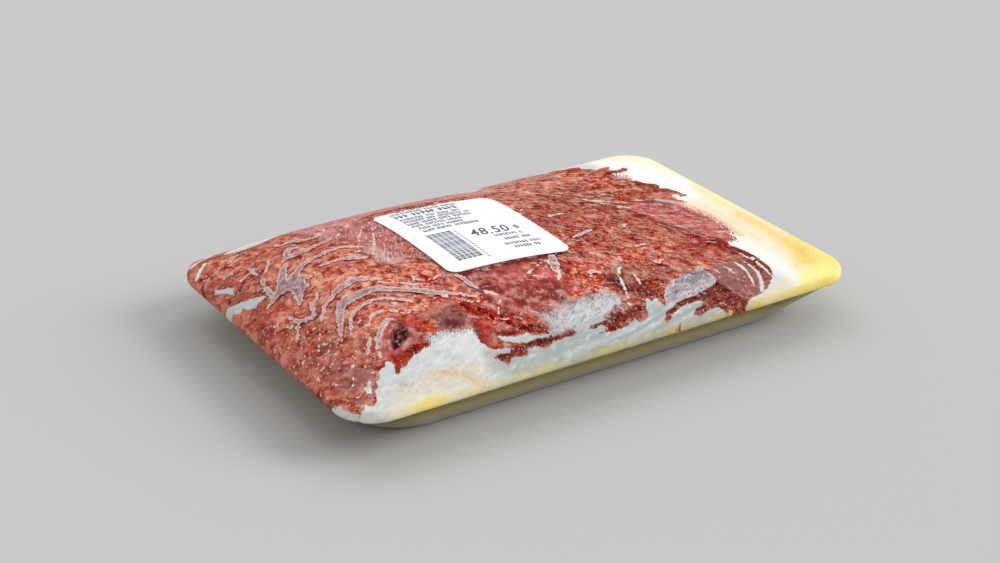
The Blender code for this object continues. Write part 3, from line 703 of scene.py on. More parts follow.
def rounded_square(x, y, half_x, half_y, radius):
    """Moves places of a rectangle so that its corners become quarter circles and the rest stays put."""
    past_x = np.abs(x) - (half_x - radius)
    past_y = np.abs(y) - (half_y - radius)
    corner = (past_x > 0) & (past_y > 0)
    a = past_x[corner] / radius
    b = past_y[corner] / radius
    reach = np.maximum(a, b)
    low_half = 0.25 * math.pi * b / np.maximum(a, 1e-9)
    high_half = 0.5 * math.pi - 0.25 * math.pi * a / np.maximum(b, 1e-9)
    angle = np.where(a >= b, low_half, high_half)
    x, y = x.copy(), y.copy()
    x[corner] = np.sign(x[corner]) * (half_x - radius + radius * reach * np.cos(angle))
    y[corner] = np.sign(y[corner]) * (half_y - radius + radius * reach * np.sin(angle))
    return x, y


def wall_corner(inset):
    return RIM_CORNER + (BASE_CORNER - RIM_CORNER) * min(1.0, inset / BASE_INSET)


def ring_count(corner_steps, long_steps, short_steps):
    return 4 * corner_steps + 2 * long_steps + 2 * short_steps


def ring_points(inset, height, corner_steps, long_steps, short_steps, radius=None):
    """One ring round the tray, anticlockwise, at an inset from the pack's outline."""
    radius = wall_corner(inset) if radius is None else radius
    straight_x = HALF_LENGTH - inset - radius
    straight_y = HALF_WIDTH - inset - radius
    # Each corner, with the way that the side after it runs, its length and its steps.
    sides = (
        ((1, 1), (-1, 0), straight_x, long_steps),
        ((-1, 1), (0, -1), straight_y, short_steps),
        ((-1, -1), (1, 0), straight_x, long_steps),
        ((1, -1), (0, 1), straight_y, short_steps),
    )
    points = []
    for turn, ((sign_x, sign_y), way, straight, steps) in enumerate(sides):
        start = 0.5 * math.pi * turn
        centre = np.array((sign_x * straight_x, sign_y * straight_y))
        for step in range(corner_steps):
            angle = start + 0.5 * math.pi * step / corner_steps
            points.append(centre + radius * np.array((math.cos(angle), math.sin(angle))))
        end = start + 0.5 * math.pi
        first = centre + radius * np.array((math.cos(end), math.sin(end)))
        for step in range(steps):
            points.append(first + np.array(way) * (2 * straight) * step / steps)
    return np.column_stack((np.array(points), np.full(len(points), height)))


def rim_inset(plan):
    """How far each place lies in from the pack's outline."""
    past_x = np.abs(plan[:, 0]) - (HALF_LENGTH - RIM_CORNER)
    past_y = np.abs(plan[:, 1]) - (HALF_WIDTH - RIM_CORNER)
    outside = np.hypot(np.maximum(past_x, 0.0), np.maximum(past_y, 0.0))
    inside = np.minimum(np.maximum(past_x, past_y), 0.0)
    return RIM_CORNER - outside - inside


# ---------------- mesh helpers
def deselect_all():
    if bpy.context.mode != "OBJECT":
        bpy.ops.object.mode_set(mode="OBJECT")
    bpy.ops.object.select_all(action="DESELECT")


def named(name):
    """Names the object just added and its mesh."""
    piece = bpy.context.active_object
    piece.name = name
    piece.data.name = name
    return piece


def places_of(piece):
    co = np.empty(len(piece.data.vertices) * 3)
    piece.data.vertices.foreach_get("co", co)
    return co.reshape(-1, 3) / MM


def move_to(piece, places):
    piece.data.vertices.foreach_set("co", (np.asarray(places, float) * MM).ravel())
    piece.data.update()


def new_piece(name, places, faces):
    """Adds an object with a mesh of its own, with its places in millimetres."""
    mesh = bpy.data.meshes.new(name)
    mesh.from_pydata((places * MM).tolist(), [], faces)
    piece = bpy.data.objects.new(name, mesh)
    bpy.context.scene.collection.objects.link(piece)
    return piece


def activate(piece):
    deselect_all()
    piece.select_set(True)
    bpy.context.view_layer.objects.active = piece


def select_boundary(piece):
    """Enters edit mode with only the open edges selected."""
    activate(piece)
    bpy.ops.object.mode_set(mode="EDIT")
    bpy.ops.mesh.select_mode(type="EDGE")
    bpy.ops.mesh.select_all(action="DESELECT")
    bpy.ops.mesh.select_non_manifold(
        extend=False, use_wire=False, use_multi_face=False, use_non_contiguous=False, use_verts=False
    )


def select_ring(piece, first, count):
    """Enters edit mode with only the edges between a run of points selected."""
    activate(piece)
    mesh = piece.data
    mesh.polygons.foreach_set("select", np.zeros(len(mesh.polygons), bool))
    ends = np.empty(len(mesh.edges) * 2, np.int32)
    mesh.edges.foreach_get("vertices", ends)
    ends = ends.reshape(-1, 2)
    mesh.edges.foreach_set("select", ((ends >= first) & (ends < first + count)).all(axis=1))
    chosen = np.zeros(len(mesh.vertices), bool)
    chosen[first:first + count] = True
    mesh.vertices.foreach_set("select", chosen)
    bpy.ops.object.mode_set(mode="EDIT")
    bpy.ops.mesh.select_mode(type="EDGE")


def select_last(piece, count):
    select_ring(piece, len(piece.data.vertices) - count, count)


def extrude_selected(piece):
    """Extrudes the selected edges, leaves edit mode and returns the piece's places."""
    bpy.ops.mesh.extrude_edges_move()
    bpy.ops.object.mode_set(mode="OBJECT")
    return places_of(piece)


def grow_ring(piece, count, ring):
    """Extrudes a piece's last ring of points to the places of the next one."""
    select_last(piece, count)
    places = extrude_selected(piece)
    places[-count:] = ring
    move_to(piece, places)


def fill_ring(piece, first, count):
    """Closes a ring of points with one flat face."""
    select_ring(piece, first, count)
    bpy.ops.mesh.edge_face_add()
    bpy.ops.object.mode_set(mode="OBJECT")


def face_outwards(piece):
    activate(piece)
    bpy.ops.object.mode_set(mode="EDIT")
    bpy.ops.mesh.select_all(action="SELECT")
    bpy.ops.mesh.normals_make_consistent(inside=False)
    bpy.ops.object.mode_set(mode="OBJECT")


def apply_modifiers(piece):
    activate(piece)
    for modifier in list(piece.modifiers):
        bpy.ops.object.modifier_apply(modifier=modifier.name)


def write_values(piece, name, values):
    written = piece.data.attributes.new(name, "FLOAT", "POINT")
    written.data.foreach_set("value", np.asarray(values, np.float32))


def write_colours(piece, name, colours):
    written = piece.data.attributes.new(name, "FLOAT_COLOR", "POINT")
    written.data.foreach_set("color", np.asarray(colours, np.float32).ravel())


def finish_piece(piece, material, node, smooth_faces=True):
    """Gives a piece its material and its body, and hides the imported node that it stands for."""
    piece.data.materials.clear()
    piece.data.materials.append(material)
    if smooth_faces:
        piece.data.shade_smooth()
    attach(piece, "root")
    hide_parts(node)


# ---------------- node helpers
def feed(tree, node, **inputs):
    """Sets a node's inputs: a socket is linked, and anything else is set as the input's value.

    An input goes by its name, with _ for a space, or by i and its number.
    """
    for name, value in inputs.items():
        numbered = name[0] == "i" and name[1:].isdigit()
        socket = node.inputs[int(name[1:]) if numbered else name.replace("_", " ")]
        if isinstance(value, bpy.types.NodeSocket):
            tree.links.new(value, socket)
        else:
            socket.default_value = value


def tree_of(*values):
    """The node tree of the first socket among some values."""
    return next(value.id_data for value in values if isinstance(value, bpy.types.NodeSocket))


def add_node(tree, kind, **inputs):
    made = tree.nodes.new(kind)
    feed(tree, made, **inputs)
    return made


def maths(operation, *values, clamp=False):
    inputs = {"i%d" % index: value for index, value in enumerate(values)}
    made = add_node(tree_of(*values), "ShaderNodeMath", **inputs)
    made.operation = operation
    made.use_clamp = clamp
    return made.outputs[0]


def plus(first, second, clamp=False):
    return maths("ADD", first, second, clamp=clamp)


def minus(first, second, clamp=False):
    return maths("SUBTRACT", first, second, clamp=clamp)


def times(first, second, clamp=False):
    return maths("MULTIPLY", first, second, clamp=clamp)


def larger(first, second):
    return maths("MAXIMUM", first, second)


def rest(share):
    """What a share leaves of 1."""
    return minus(1.0, share)


def centred(value):
    return minus(value, 0.5)


def scaled(value, factor, offset):
    return maths("MULTIPLY_ADD", value, factor, offset)


def between(share, first, second):
    """A value between first and second."""
    return add_node(tree_of(share, first, second), "ShaderNodeMix", i0=share, i2=first, i3=second).outputs[0]


def blended(share, first, second, mode="MIX"):
    """First and second colour mixed by a share."""
    tree = tree_of(share, first, second)
    made = tree.nodes.new("ShaderNodeMix")
    made.data_type = "RGBA"
    made.blend_type = mode
    made.clamp_factor = True
    feed(tree, made, i0=share, i6=first, i7=second)
    return made.outputs[2]


def stepped(value, low, high):
    """0 below low, 1 above high, and smooth between."""
    made = add_node(value.id_data, "ShaderNodeMapRange", Value=value, From_Min=low, From_Max=high)
    made.interpolation_type = "SMOOTHSTEP"
    return made.outputs["Result"]


def spread_out(value, low, high):
    """A value from 0 to 1 spread between low and high."""
    made = add_node(value.id_data, "ShaderNodeMapRange", Value=value, To_Min=low, To_Max=high)
    return made.outputs["Result"]


NOISE_CONTRAST = 3.2
NOISE_OFFSET = -1.1


def noise(place, grain, detail=2.0, roughness=0.55, stretch=None):
    """Noise with a grain in millimetres, mostly between 0 and 1: one value in fifty goes past.

    stretch is a turn about Z and how much longer the grain is along each turned axis.
    """
    tree = place.id_data
    if stretch:
        turn, longer = stretch
        turned = add_node(tree, "ShaderNodeMapping", Vector=place, Rotation=(0, 0, turn), Scale=longer)
        turned.vector_type = "TEXTURE"
        place = turned.outputs[0]
    made = add_node(
        tree, "ShaderNodeTexNoise", Vector=place, Scale=1.0 / (grain * MM), Detail=detail, Roughness=roughness
    )
    return scaled(made.outputs["Fac"], NOISE_CONTRAST, NOISE_OFFSET)


def axes(place):
    return add_node(place.id_data, "ShaderNodeSeparateXYZ", Vector=place).outputs


def attribute(tree, name):
    made = tree.nodes.new("ShaderNodeAttribute")
    made.attribute_name = name
    return made


def value_of(tree, name):
    return attribute(tree, name).outputs["Fac"]


def bumped(tree, shader, height, strength, distance):
    """Gives a shader fine relief, with its distance in millimetres."""
    bump = add_node(tree, "ShaderNodeBump", Height=height, Strength=strength, Distance=distance * MM)
    feed(tree, shader, Normal=bump.outputs[0])


def new_material(name):
    """A material with a Principled shader, and its parts."""
    material = bpy.data.materials.new(name)
    material.use_nodes = True
    tree = material.node_tree
    shader = tree.nodes["Principled BSDF"]
    place = tree.nodes.new("ShaderNodeTexCoord").outputs["Object"]
    return material, tree, shader, place


def opaque(colour):
    return (*colour, 1.0)


def screen(red, green, blue):
    """An opaque colour as seen on a screen, from 0 to 255."""
    return opaque(srgb(red, green, blue))


def palette(value, stops):
    """A colour picked from stops of (share, red, green, blue) by a value from 0 to 1."""
    made = add_node(value.id_data, "ShaderNodeValToRGB", Fac=value)
    ramp = made.color_ramp
    while len(ramp.elements) < len(stops):
        ramp.elements.new(0.5)
    for element, (share, *colour) in zip(ramp.elements, stops):
        element.position = share
        element.color = screen(*colour)
    return made.outputs["Color"]


# ---------------- mince material
LEAN_STOPS = (
    (0.08, 126, 22, 12), (0.26, 166, 42, 28), (0.40, 190, 66, 48), (0.54, 206, 94, 72),
    (0.66, 216, 126, 102), (0.78, 226, 160, 134), (0.92, 240, 198, 174),
)
BLOOM_STOPS = ((0.18, 150, 130, 130), (0.5, 224, 216, 216), (0.80, 255, 255, 255))
DEEP_LEAN = screen(158, 34, 22)
DUSKY_LEAN = screen(182, 122, 118)
DARK_GRAIN = screen(108, 18, 10)
PALE_GRAIN = screen(236, 176, 150)
FAT_SHADE = screen(204, 126, 90)
BLOOM_DARK = screen(92, 10, 6)
BLOOM_PALE = screen(228, 140, 108)
# Painted wet glints: tiny highlights in the mince.
SPECK = screen(252, 228, 214)
GRANULE = 4.4
GRANULE_WARP = 2.6
GRANULE_SHIFT = (6.0 * MM, 6.0 * MM, 6.0 * MM)
SWEPT_FROM, SWEPT_TO = -0.080, -0.035


def mince_sockets(tree):
    """Names what the mince group takes and gives."""
    for name, way, kind in (
        ("Place", "INPUT", "Vector"), ("Tone", "INPUT", "Float"), ("Fat", "INPUT", "Float"),
        ("Bloom", "INPUT", "Color"), ("Bloom Share", "INPUT", "Float"),
        ("Colour", "OUTPUT", "Color"), ("Height", "OUTPUT", "Float"),
    ):
        tree.interface.new_socket(name, in_out=way, socket_type="NodeSocket" + kind)


def granules(tree, place):
    """Cells with ragged borders, each with random values of its own."""
    warp = add_node(
        tree, "ShaderNodeTexNoise", Vector=place, Scale=1.0 / (GRANULE_WARP * MM), Detail=3.0, Roughness=0.6
    )
    shift = tree.nodes.new("ShaderNodeVectorMath")
    shift.operation = "MULTIPLY_ADD"
    feed(tree, shift, i0=warp.outputs["Color"], i1=GRANULE_SHIFT, i2=place)
    cells = add_node(tree, "ShaderNodeTexVoronoi", Vector=shift.outputs[0], Scale=1.0 / (GRANULE * MM))
    return add_node(tree, "ShaderNodeSeparateColor", Color=cells.outputs["Color"]).outputs


def lean_level(place, own, tone, calm, medium):
    """Where the lean stands on its ramp, from each granule's own value, its tone and the noise."""
    broad = noise(place, 9.0, 3.0)
    level = plus(times(own["Red"], 0.48), times(tone, 0.16))
    # The calm left end stands higher on the ramp: painted light, lighter where light falls.
    level = plus(level, scaled(calm, 0.06, -0.13))
    level = plus(level, times(medium, 0.64))
    return plus(level, times(centred(broad), 0.20), clamp=True)


def lean_colour(place, own, level, fine, dark_share):
    """Lean mince: its ramp, then deep and dusky granules, then dark and pale grain."""
    lean = palette(level, LEAN_STOPS)
    deep = stepped(noise(place, 6.0, 3.0, 0.6), 0.60, 0.95)
    lean = blended(times(deep, 0.55), lean, DEEP_LEAN)
    dusky = stepped(own["Green"], 0.76, 0.90)
    lean = blended(times(dusky, 0.60), lean, DUSKY_LEAN)
    lean = blended(times(stepped(fine, 0.32, 0.0), dark_share), lean, DARK_GRAIN)
    return blended(times(stepped(fine, 0.70, 1.0), 0.50), lean, PALE_GRAIN)


def fatted(colours, place, given_fat, calm, fine, lean):
    """Lays fat over lean: bits of fat, and blots of it in the lean."""
    blots = plus(noise(place, 2.8, 2.0, 0.5), times(calm, 0.06))
    fatty = larger(given_fat, stepped(blots, 0.70, 0.92))
    fat = blended(stepped(fine, 0.15, 0.85), FAT_SHADE, opaque(colours.fat))
    return blended(times(fatty, 0.75), lean, fat)


def bloomed(given, level, fine, dark_share, colour):
    """Bloom recolours the lean but keeps its light and dark grain."""
    grained = blended(1.0, given["Bloom"], palette(level, BLOOM_STOPS), "MULTIPLY")
    dark = times(stepped(fine, 0.36, 0.05), dark_share)
    grained = blended(dark, grained, BLOOM_DARK)
    light = times(stepped(fine, 0.74, 1.0), 0.30)
    grained = blended(light, grained, BLOOM_PALE)
    return blended(given["Bloom Share"], colour, grained)


def mince_group(colours):
    """Shader group: the mottled colour and relief of mince, by its place, its own tone and its bloom."""
    tree = bpy.data.node_groups.new("mince mottle", "ShaderNodeTree")
    mince_sockets(tree)
    given = tree.nodes.new("NodeGroupInput").outputs
    place = given["Place"]
    own = granules(tree, place)
    medium = noise(place, 3.2, 3.0, 0.6)
    fine = noise(place, 1.1, 3.0, 0.6, stretch=(-0.6, (1.7, 1.0, 1.0)))
    # The left end is calm, and the rest is swept to the right. The calm end is also painted lighter, as
    # painted light.
    swept = stepped(axes(place)["X"], SWEPT_FROM, SWEPT_TO)
    calm = rest(swept)
    dark_share = scaled(swept, 0.22, 0.32)
    level = lean_level(place, own, given["Tone"], calm, medium)
    colour = lean_colour(place, own, level, fine, dark_share)
    colour = fatted(colours, place, given["Fat"], calm, fine, colour)
    colour = bloomed(given, level, fine, dark_share, colour)
    # Tiny painted wet glints.
    specks = stepped(noise(place, 0.9, 2.0), 1.0, 1.1)
    colour = blended(times(specks, 0.8), colour, SPECK)
    feed(tree, tree.nodes.new("NodeGroupOutput"), Colour=colour, Height=plus(fine, medium))
    return tree


def mince_colour(tree, group, place, tone=0.5, fat=0.0):
    """Places the mince group in a material, with the piece's own bloom, and returns its outputs."""
    # The bloom attribute also holds painted light: the left end is lighter.
    bloom = attribute(tree, "bloom").outputs
    made = tree.nodes.new("ShaderNodeGroup")
    made.node_tree = group
    feed(tree, made, Place=place, Tone=tone, Fat=fat, Bloom=bloom["Color"], Bloom_Share=bloom["Alpha"])
    return made.outputs


def mince_material(group):
    material, tree, shader, place = new_material("pressed mince")
    mottle = mince_colour(tree, group, place, value_of(tree, "tone"), value_of(tree, "fat"))
    bumped(tree, shader, mottle["Height"], 0.35, 0.06)
    feed(tree, shader, Base_Color=mottle["Colour"], Roughness=0.6, Specular_IOR_Level=0.0)
    return material


# ---------------- film material
POCKET_STOPS = ((0.10, 132, 96, 102), (0.34, 170, 136, 140), (0.58, 194, 164, 166), (0.85, 222, 200, 198))
STREAK_DARK = screen(96, 22, 24)
STREAK_PALE = screen(232, 176, 164)
HAIR = screen(244, 216, 208)
FLECK = screen(240, 222, 216)
NET_LINE = screen(226, 178, 162)
# Painted shade and painted highlight of the film's crumpled folds, as dark and light.
CREASE_SHADE_AND_HIGHLIGHT_ON_MEAT = (screen(92, 30, 36), screen(244, 214, 206))
CREASE_SHADE_AND_HIGHLIGHT_IN_FOG = (screen(104, 86, 98), screen(232, 222, 226))
FOG_LIGHT = screen(250, 252, 252)
FOG_DULL = screen(150, 158, 162)
FOG_SPECK = screen(140, 130, 136)
GOLDEN = screen(250, 220, 140)
BARE = screen(255, 253, 246)


def grainy(share, grain, spread=0.45):
    """Breaks up a soft share with a grain, so that it fades in specks."""
    level = plus(share, times(centred(grain), spread))
    return times(stepped(level, 0.08, 0.92), stepped(share, 0.0, 0.10))


def film_grain(place):
    """The film's common noises: fine, ragged and mixed."""
    fine = noise(place, 0.8, 3.0, 0.65)
    milk = noise(place, 2.2, 3.0, 0.55)
    ragged = plus(times(centred(milk), 1.5), times(centred(fine), 0.6))
    mixed = plus(times(milk, 0.6), times(fine, 0.4))
    return fine, ragged, mixed


def on_meat(tree, place, fine, ragged, soft):
    """1 where the film is pressed to the meat and 0 clear of it.

    The edge is ragged, and feathers where the film lifts off slowly.
    """
    feather = noise(place, 0.65, 3.0, 0.6, stretch=(1.0, (4.0, 1.0, 1.0)))
    feather = plus(times(feather, 0.6), times(fine, 0.4))
    speckle = times(centred(feather), times(soft, 1.5))
    edge = plus(value_of(tree, "meat_edge"), plus(times(ragged, 0.26), speckle))
    width = plus(0.25, times(soft, 0.45))
    return stepped(plus(0.5, maths("DIVIDE", edge, width), clamp=True), 0.0, 1.0)


def film_pockets(tree, place, ragged):
    """Shares of the pockets and of their pale outline, with small ones that bridge between granules."""
    edge = plus(value_of(tree, "pocket_edge"), times(ragged, 0.60))
    bridge = noise(place, 2.6, 3.0, 0.55, stretch=(-0.6, (2.0, 0.8, 1.0)))
    bridge = plus(bridge, times(value_of(tree, "bridges"), 0.18))
    bridge = times(minus(bridge, 1.08), 2.6)
    rims = []
    for level, strength in ((edge, 1.0), (bridge, 0.55)):
        rim = minus(stepped(level, -0.30, -0.06), stepped(level, 0.06, 0.40), clamp=True)
        rims.append(times(rim, strength))
    small = times(stepped(bridge, -0.06, 0.10), 0.8)
    return larger(stepped(edge, -0.06, 0.10), small), larger(*rims)


def crease_shade_and_highlight(tree, colour, share, place, dark, light):
    """Draws fine lines of painted shade and painted highlight over a colour, standing in for the folds of
    crumpled film.
    """
    for offset, tint, strength in ((0.0, dark, 1.0), (0.31, light, 0.75)):
        moved = add_node(tree, "ShaderNodeMapping", Vector=place, Location=(offset, offset, 0.0)).outputs[0]
        fold = noise(moved, 2.4, 2.0, 0.5, stretch=(0.45, (2.0, 1.0, 1.0)))
        away = maths("ABSOLUTE", centred(fold))
        line = rest(stepped(away, 0.01, 0.10))
        colour = blended(times(line, times(share, strength)), colour, tint)
    return colour


def slack_film(tree, place, fine, veil_and_painted_light):
    """Colour of film that lies slack on the meat: juice and creases draw streaks across it."""
    part = axes(place)
    right_side = stepped(part["X"], 0.040, 0.050)
    far_streaks = noise(place, 0.75, 3.0, 0.6, stretch=(1.0, (5.0, 1.0, 1.0)))
    right_streaks = noise(place, 0.9, 3.0, 0.6, stretch=(-0.72, (5.0, 1.0, 1.0)))
    streak = between(right_side, far_streaks, right_streaks)
    cloud = noise(place, 4.5, 4.0, 0.65)
    # Near the label's near side the streaks are blurred, and at the near right the film is calm.
    near_side = stepped(part["Y"], -0.006, -0.014)
    blurred = times(near_side, rest(right_side))
    streak_share = minus(0.48, times(blurred, 0.42))
    light = between(streak_share, cloud, streak)
    calm = times(stepped(part["Y"], -0.036, -0.044), right_side)
    light = between(times(calm, 0.35), light, 0.5)
    dark_share = times(stepped(light, 0.48, 0.12), 0.72)
    slack = blended(dark_share, veil_and_painted_light.outputs["Color"], STREAK_DARK)
    slack = blended(times(stepped(light, 0.52, 0.92), 0.50), slack, STREAK_PALE)
    hair = stepped(plus(streak, times(fine, 0.3)), 1.02, 1.16)
    far_side = plus(0.04, stepped(part["Y"], -0.014, -0.004))
    hair = times(hair, far_side, clamp=True)
    slack = blended(times(hair, 0.7), slack, HAIR)
    return crease_shade_and_highlight(tree, slack, times(value_of(tree, "crinkle"), 0.7), place, *CREASE_SHADE_AND_HIGHLIGHT_ON_MEAT)


def with_juice(tree, group, place, pocket, outline, colour, share):
    """Adds the juice caught along the edge of the pressed meat, behind the film's own colour."""
    mottle = mince_colour(tree, group, place)
    clear = rest(larger(pocket, outline))
    juice = times(clear, value_of(tree, "juice"))
    under = times(juice, rest(share))
    share = plus(share, under)
    seen = maths("DIVIDE", under, larger(share, 0.001))
    return blended(seen, colour, mottle["Colour"]), share


def with_flecks(tree, place, colour, share):
    """Adds white flecks and the net of fine pale lines."""
    fleck = noise(place, 1.4, 2.0, 0.5, stretch=(0.9, (1.5, 1.0, 1.0)))
    fleck = times(stepped(fleck, 0.93, 1.02), value_of(tree, "fleck"))
    colour = blended(fleck, colour, FLECK)
    share = larger(share, fleck)
    net = maths("ABSOLUTE", centred(noise(place, 1.5, 2.0)))
    net = rest(stepped(net, 0.02, 0.10))
    net = times(net, times(value_of(tree, "net"), 0.28))
    return blended(net, colour, NET_LINE), larger(share, net)


def film_over_meat(tree, group, colours, place, fine, ragged, mixed):
    """Colour and cover of the film where it lies on the meat."""
    veil_and_painted_light = attribute(tree, "veil_and_painted_light")
    pocket, outline = film_pockets(tree, place, ragged)
    colour = blended(pocket, slack_film(tree, place, fine, veil_and_painted_light), palette(mixed, POCKET_STOPS))
    colour = blended(times(outline, 0.9), colour, opaque(colours.crease))
    share = grainy(veil_and_painted_light.outputs["Alpha"], mixed)
    share = larger(share, times(pocket, 0.84))
    share = larger(share, times(outline, 0.88))
    colour, share = with_juice(tree, group, place, pocket, outline, colour, share)
    return with_flecks(tree, place, colour, share)


def foggy(place, fine, soft, fog, streaks):
    """Fog inside the film: cloudy streaks, duller and speckled left of the bare end."""
    clouded = fog.outputs["Alpha"]
    light = times(stepped(streaks, 0.60, 1.0), times(clouded, 0.38))
    colour = blended(light, fog.outputs["Color"], FOG_LIGHT)
    left_side = stepped(axes(place)["X"], 0.068, 0.058)
    dull = times(clouded, left_side)
    dark = times(stepped(streaks, 0.44, 0.05), times(dull, 0.24))
    colour = blended(dark, colour, FOG_DULL)
    speckled = plus(0.14, times(stepped(soft, 1.0, 4.0), 0.6))
    specks = times(stepped(fine, 0.50, 0.10), times(dull, speckled))
    return blended(specks, colour, FOG_SPECK)


def film_over_foam(tree, place, fine, soft, fog, streaks):
    """Colour of the film clear of the meat: fog, and yellow sandy stain where it is wiped thin."""
    colour = foggy(place, fine, soft, fog, streaks)
    colour = crease_shade_and_highlight(tree, colour, value_of(tree, "crinkle"), place, *CREASE_SHADE_AND_HIGHLIGHT_IN_FOG)
    stain = attribute(tree, "stain").outputs
    sand = noise(place, 0.55, 2.0)
    stained = grainy(stain["Alpha"], sand, 0.42)
    colour = blended(stained, colour, stain["Color"])
    golden = blended(1.0, stain["Color"], GOLDEN, "MULTIPLY")
    dust = times(stepped(sand, 0.58, 0.92), times(stained, 0.42))
    colour = blended(dust, colour, golden)
    bare = times(stepped(sand, 0.40, 0.10), times(stained, 0.22))
    return blended(bare, colour, BARE)


def film_material(group, colours):
    """Stretch film: clear where it lies on the meat, milky where it stands off, and fogged over the foam."""
    material, tree, shader, place = new_material("stretch film")
    fine, ragged, mixed = film_grain(place)
    soft = value_of(tree, "edge_soft")
    fog = attribute(tree, "fog")
    streaks = noise(place, 1.6, 4.0, 0.6, stretch=(0.35, (3.0, 1.0, 1.0)))
    pressed = on_meat(tree, place, fine, ragged, soft)
    over, over_share = film_over_meat(tree, group, colours, place, fine, ragged, mixed)
    colour = blended(pressed, film_over_foam(tree, place, fine, soft, fog, streaks), over)
    share = between(pressed, fog.outputs["Alpha"], over_share)
    bumped(tree, shader, plus(times(streaks, 0.8), times(fine, 0.25)), 0.4, 0.06)
    feed(tree, shader, Base_Color=colour, Alpha=share, Roughness=0.5, Specular_IOR_Level=0.02)
    return material


# ---------------- other materials
# The wall's colour by height: darker and more olive towards the top, painted shade under the lip.
WALL_SHADE_STOPS = (
    (0.0, 182, 175, 160), (0.20, 198, 189, 168), (0.45, 192, 180, 122),
    (0.72, 154, 142, 88), (0.92, 108, 95, 47),
)
WALL_HEIGHT = 16.0
WRAP_MARK = screen(206, 206, 196)
FOAM_PALE = screen(252, 234, 142)
FOAM_SEAM = screen(214, 184, 84)
FOAM_BEAD = 1.7
PAPER_CLOUD = screen(246, 246, 249)
PAPER_FIBRE = screen(240, 241, 244)
INK_FAINT = screen(150, 162, 188)
INK_WORN = screen(198, 204, 216)


def wrap_material():
    """The film under the tray, drawn tight over the foam's wall: thin and a little milky, with painted shade
    darkening it towards the lip.
    """
    material, tree, shader, place = new_material("stretch film under the tray")
    streaks = noise(place, 2.6, 3.0, 0.6, stretch=(0.0, (2.0, 2.0, 0.4)))
    height = axes(place)["Z"]
    # Painted shade: darker towards the top, under the lip.
    wall = palette(stepped(height, 0.0, WALL_HEIGHT * MM), WALL_SHADE_STOPS)
    mark = times(stepped(streaks, 0.5, 1.0), 0.22)
    colour = blended(mark, wall, WRAP_MARK)
    bumped(tree, shader, streaks, 0.4, 0.10)
    milky = value_of(tree, "milky")
    feed(tree, shader, Base_Color=colour, Alpha=milky, Roughness=0.4, Specular_IOR_Level=0.2)
    return material


def foam_material(colours):
    """Polystyrene foam: fused beads with a soft skin."""
    material, tree, shader, place = new_material("yellow foam")
    beads = add_node(tree, "ShaderNodeTexVoronoi", Vector=place, Scale=1.0 / (FOAM_BEAD * MM))
    beads.feature = "DISTANCE_TO_EDGE"
    seams = stepped(beads.outputs["Distance"], 0.0, 0.16)
    cloud = noise(place, 9.0, 3.0)
    colour = blended(cloud, opaque(colours.foam), FOAM_PALE)
    colour = blended(times(rest(seams), 0.18), colour, FOAM_SEAM)
    bumped(tree, shader, plus(seams, times(cloud, 0.2)), 0.35, 0.15)
    feed(tree, shader, Base_Color=colour, Roughness=spread_out(cloud, 0.46, 0.66))
    return material


def paper_material(colours):
    material, tree, shader, place = new_material("white paper")
    fibres = noise(place, 0.5, 4.0, 0.7)
    cloud = noise(place, 14.0, 2.0)
    colour = blended(stepped(cloud, 0.2, 1.0), opaque(colours.paper), PAPER_CLOUD)
    colour = blended(times(stepped(fibres, 0.6, 1.1), 0.2), colour, PAPER_FIBRE)
    bumped(tree, shader, fibres, 0.15, 0.02)
    feed(tree, shader, Base_Color=colour, Roughness=spread_out(fibres, 0.45, 0.62))
    return material


def ink_material(colours):
    """Thermal print: it fades in blotches and along the print head's lines."""
    material, tree, shader, place = new_material("thermal print")
    blotches = noise(place, 1.6, 3.0, 0.6)
    lines = noise(place, 0.45, 1.0, 0.5, stretch=(0.0, (1.0, 4.0, 1.0)))
    patchy = times(stepped(blotches, 0.50, 1.0), 0.22)
    lined = times(stepped(lines, 0.60, 1.0), 0.16)
    dark = blended(value_of(tree, "strong"), INK_FAINT, opaque(colours.ink))
    feed(tree, shader, Base_Color=blended(plus(patchy, lined), dark, INK_WORN), Roughness=0.5)
    return material


def floor_material(colours):
    material, tree, shader, place = new_material("studio floor")
    grain = noise(place, 900.0, 2.0)
    shade = opaque([FLOOR_SHADE * part for part in colours.floor])
    colour = blended(grain, opaque(colours.floor), shade)
    feed(tree, shader, Base_Color=colour, Roughness=0.9, Specular_IOR_Level=0.1)
    return material


# ---------------- tray
# How many steps a ring takes at each corner, along each long side and along each short side.
TRAY_STEPS = (14, 34, 20)
FOAM = 3.0
FOOT_INSET = BASE_INSET + 1.0
FLANGE_INSET = 6.4
LIP_INSET = 0.4
TRAY_TOP = RIM_TOP - 0.35
TRAY_FOOT = TRAY_LOW.z

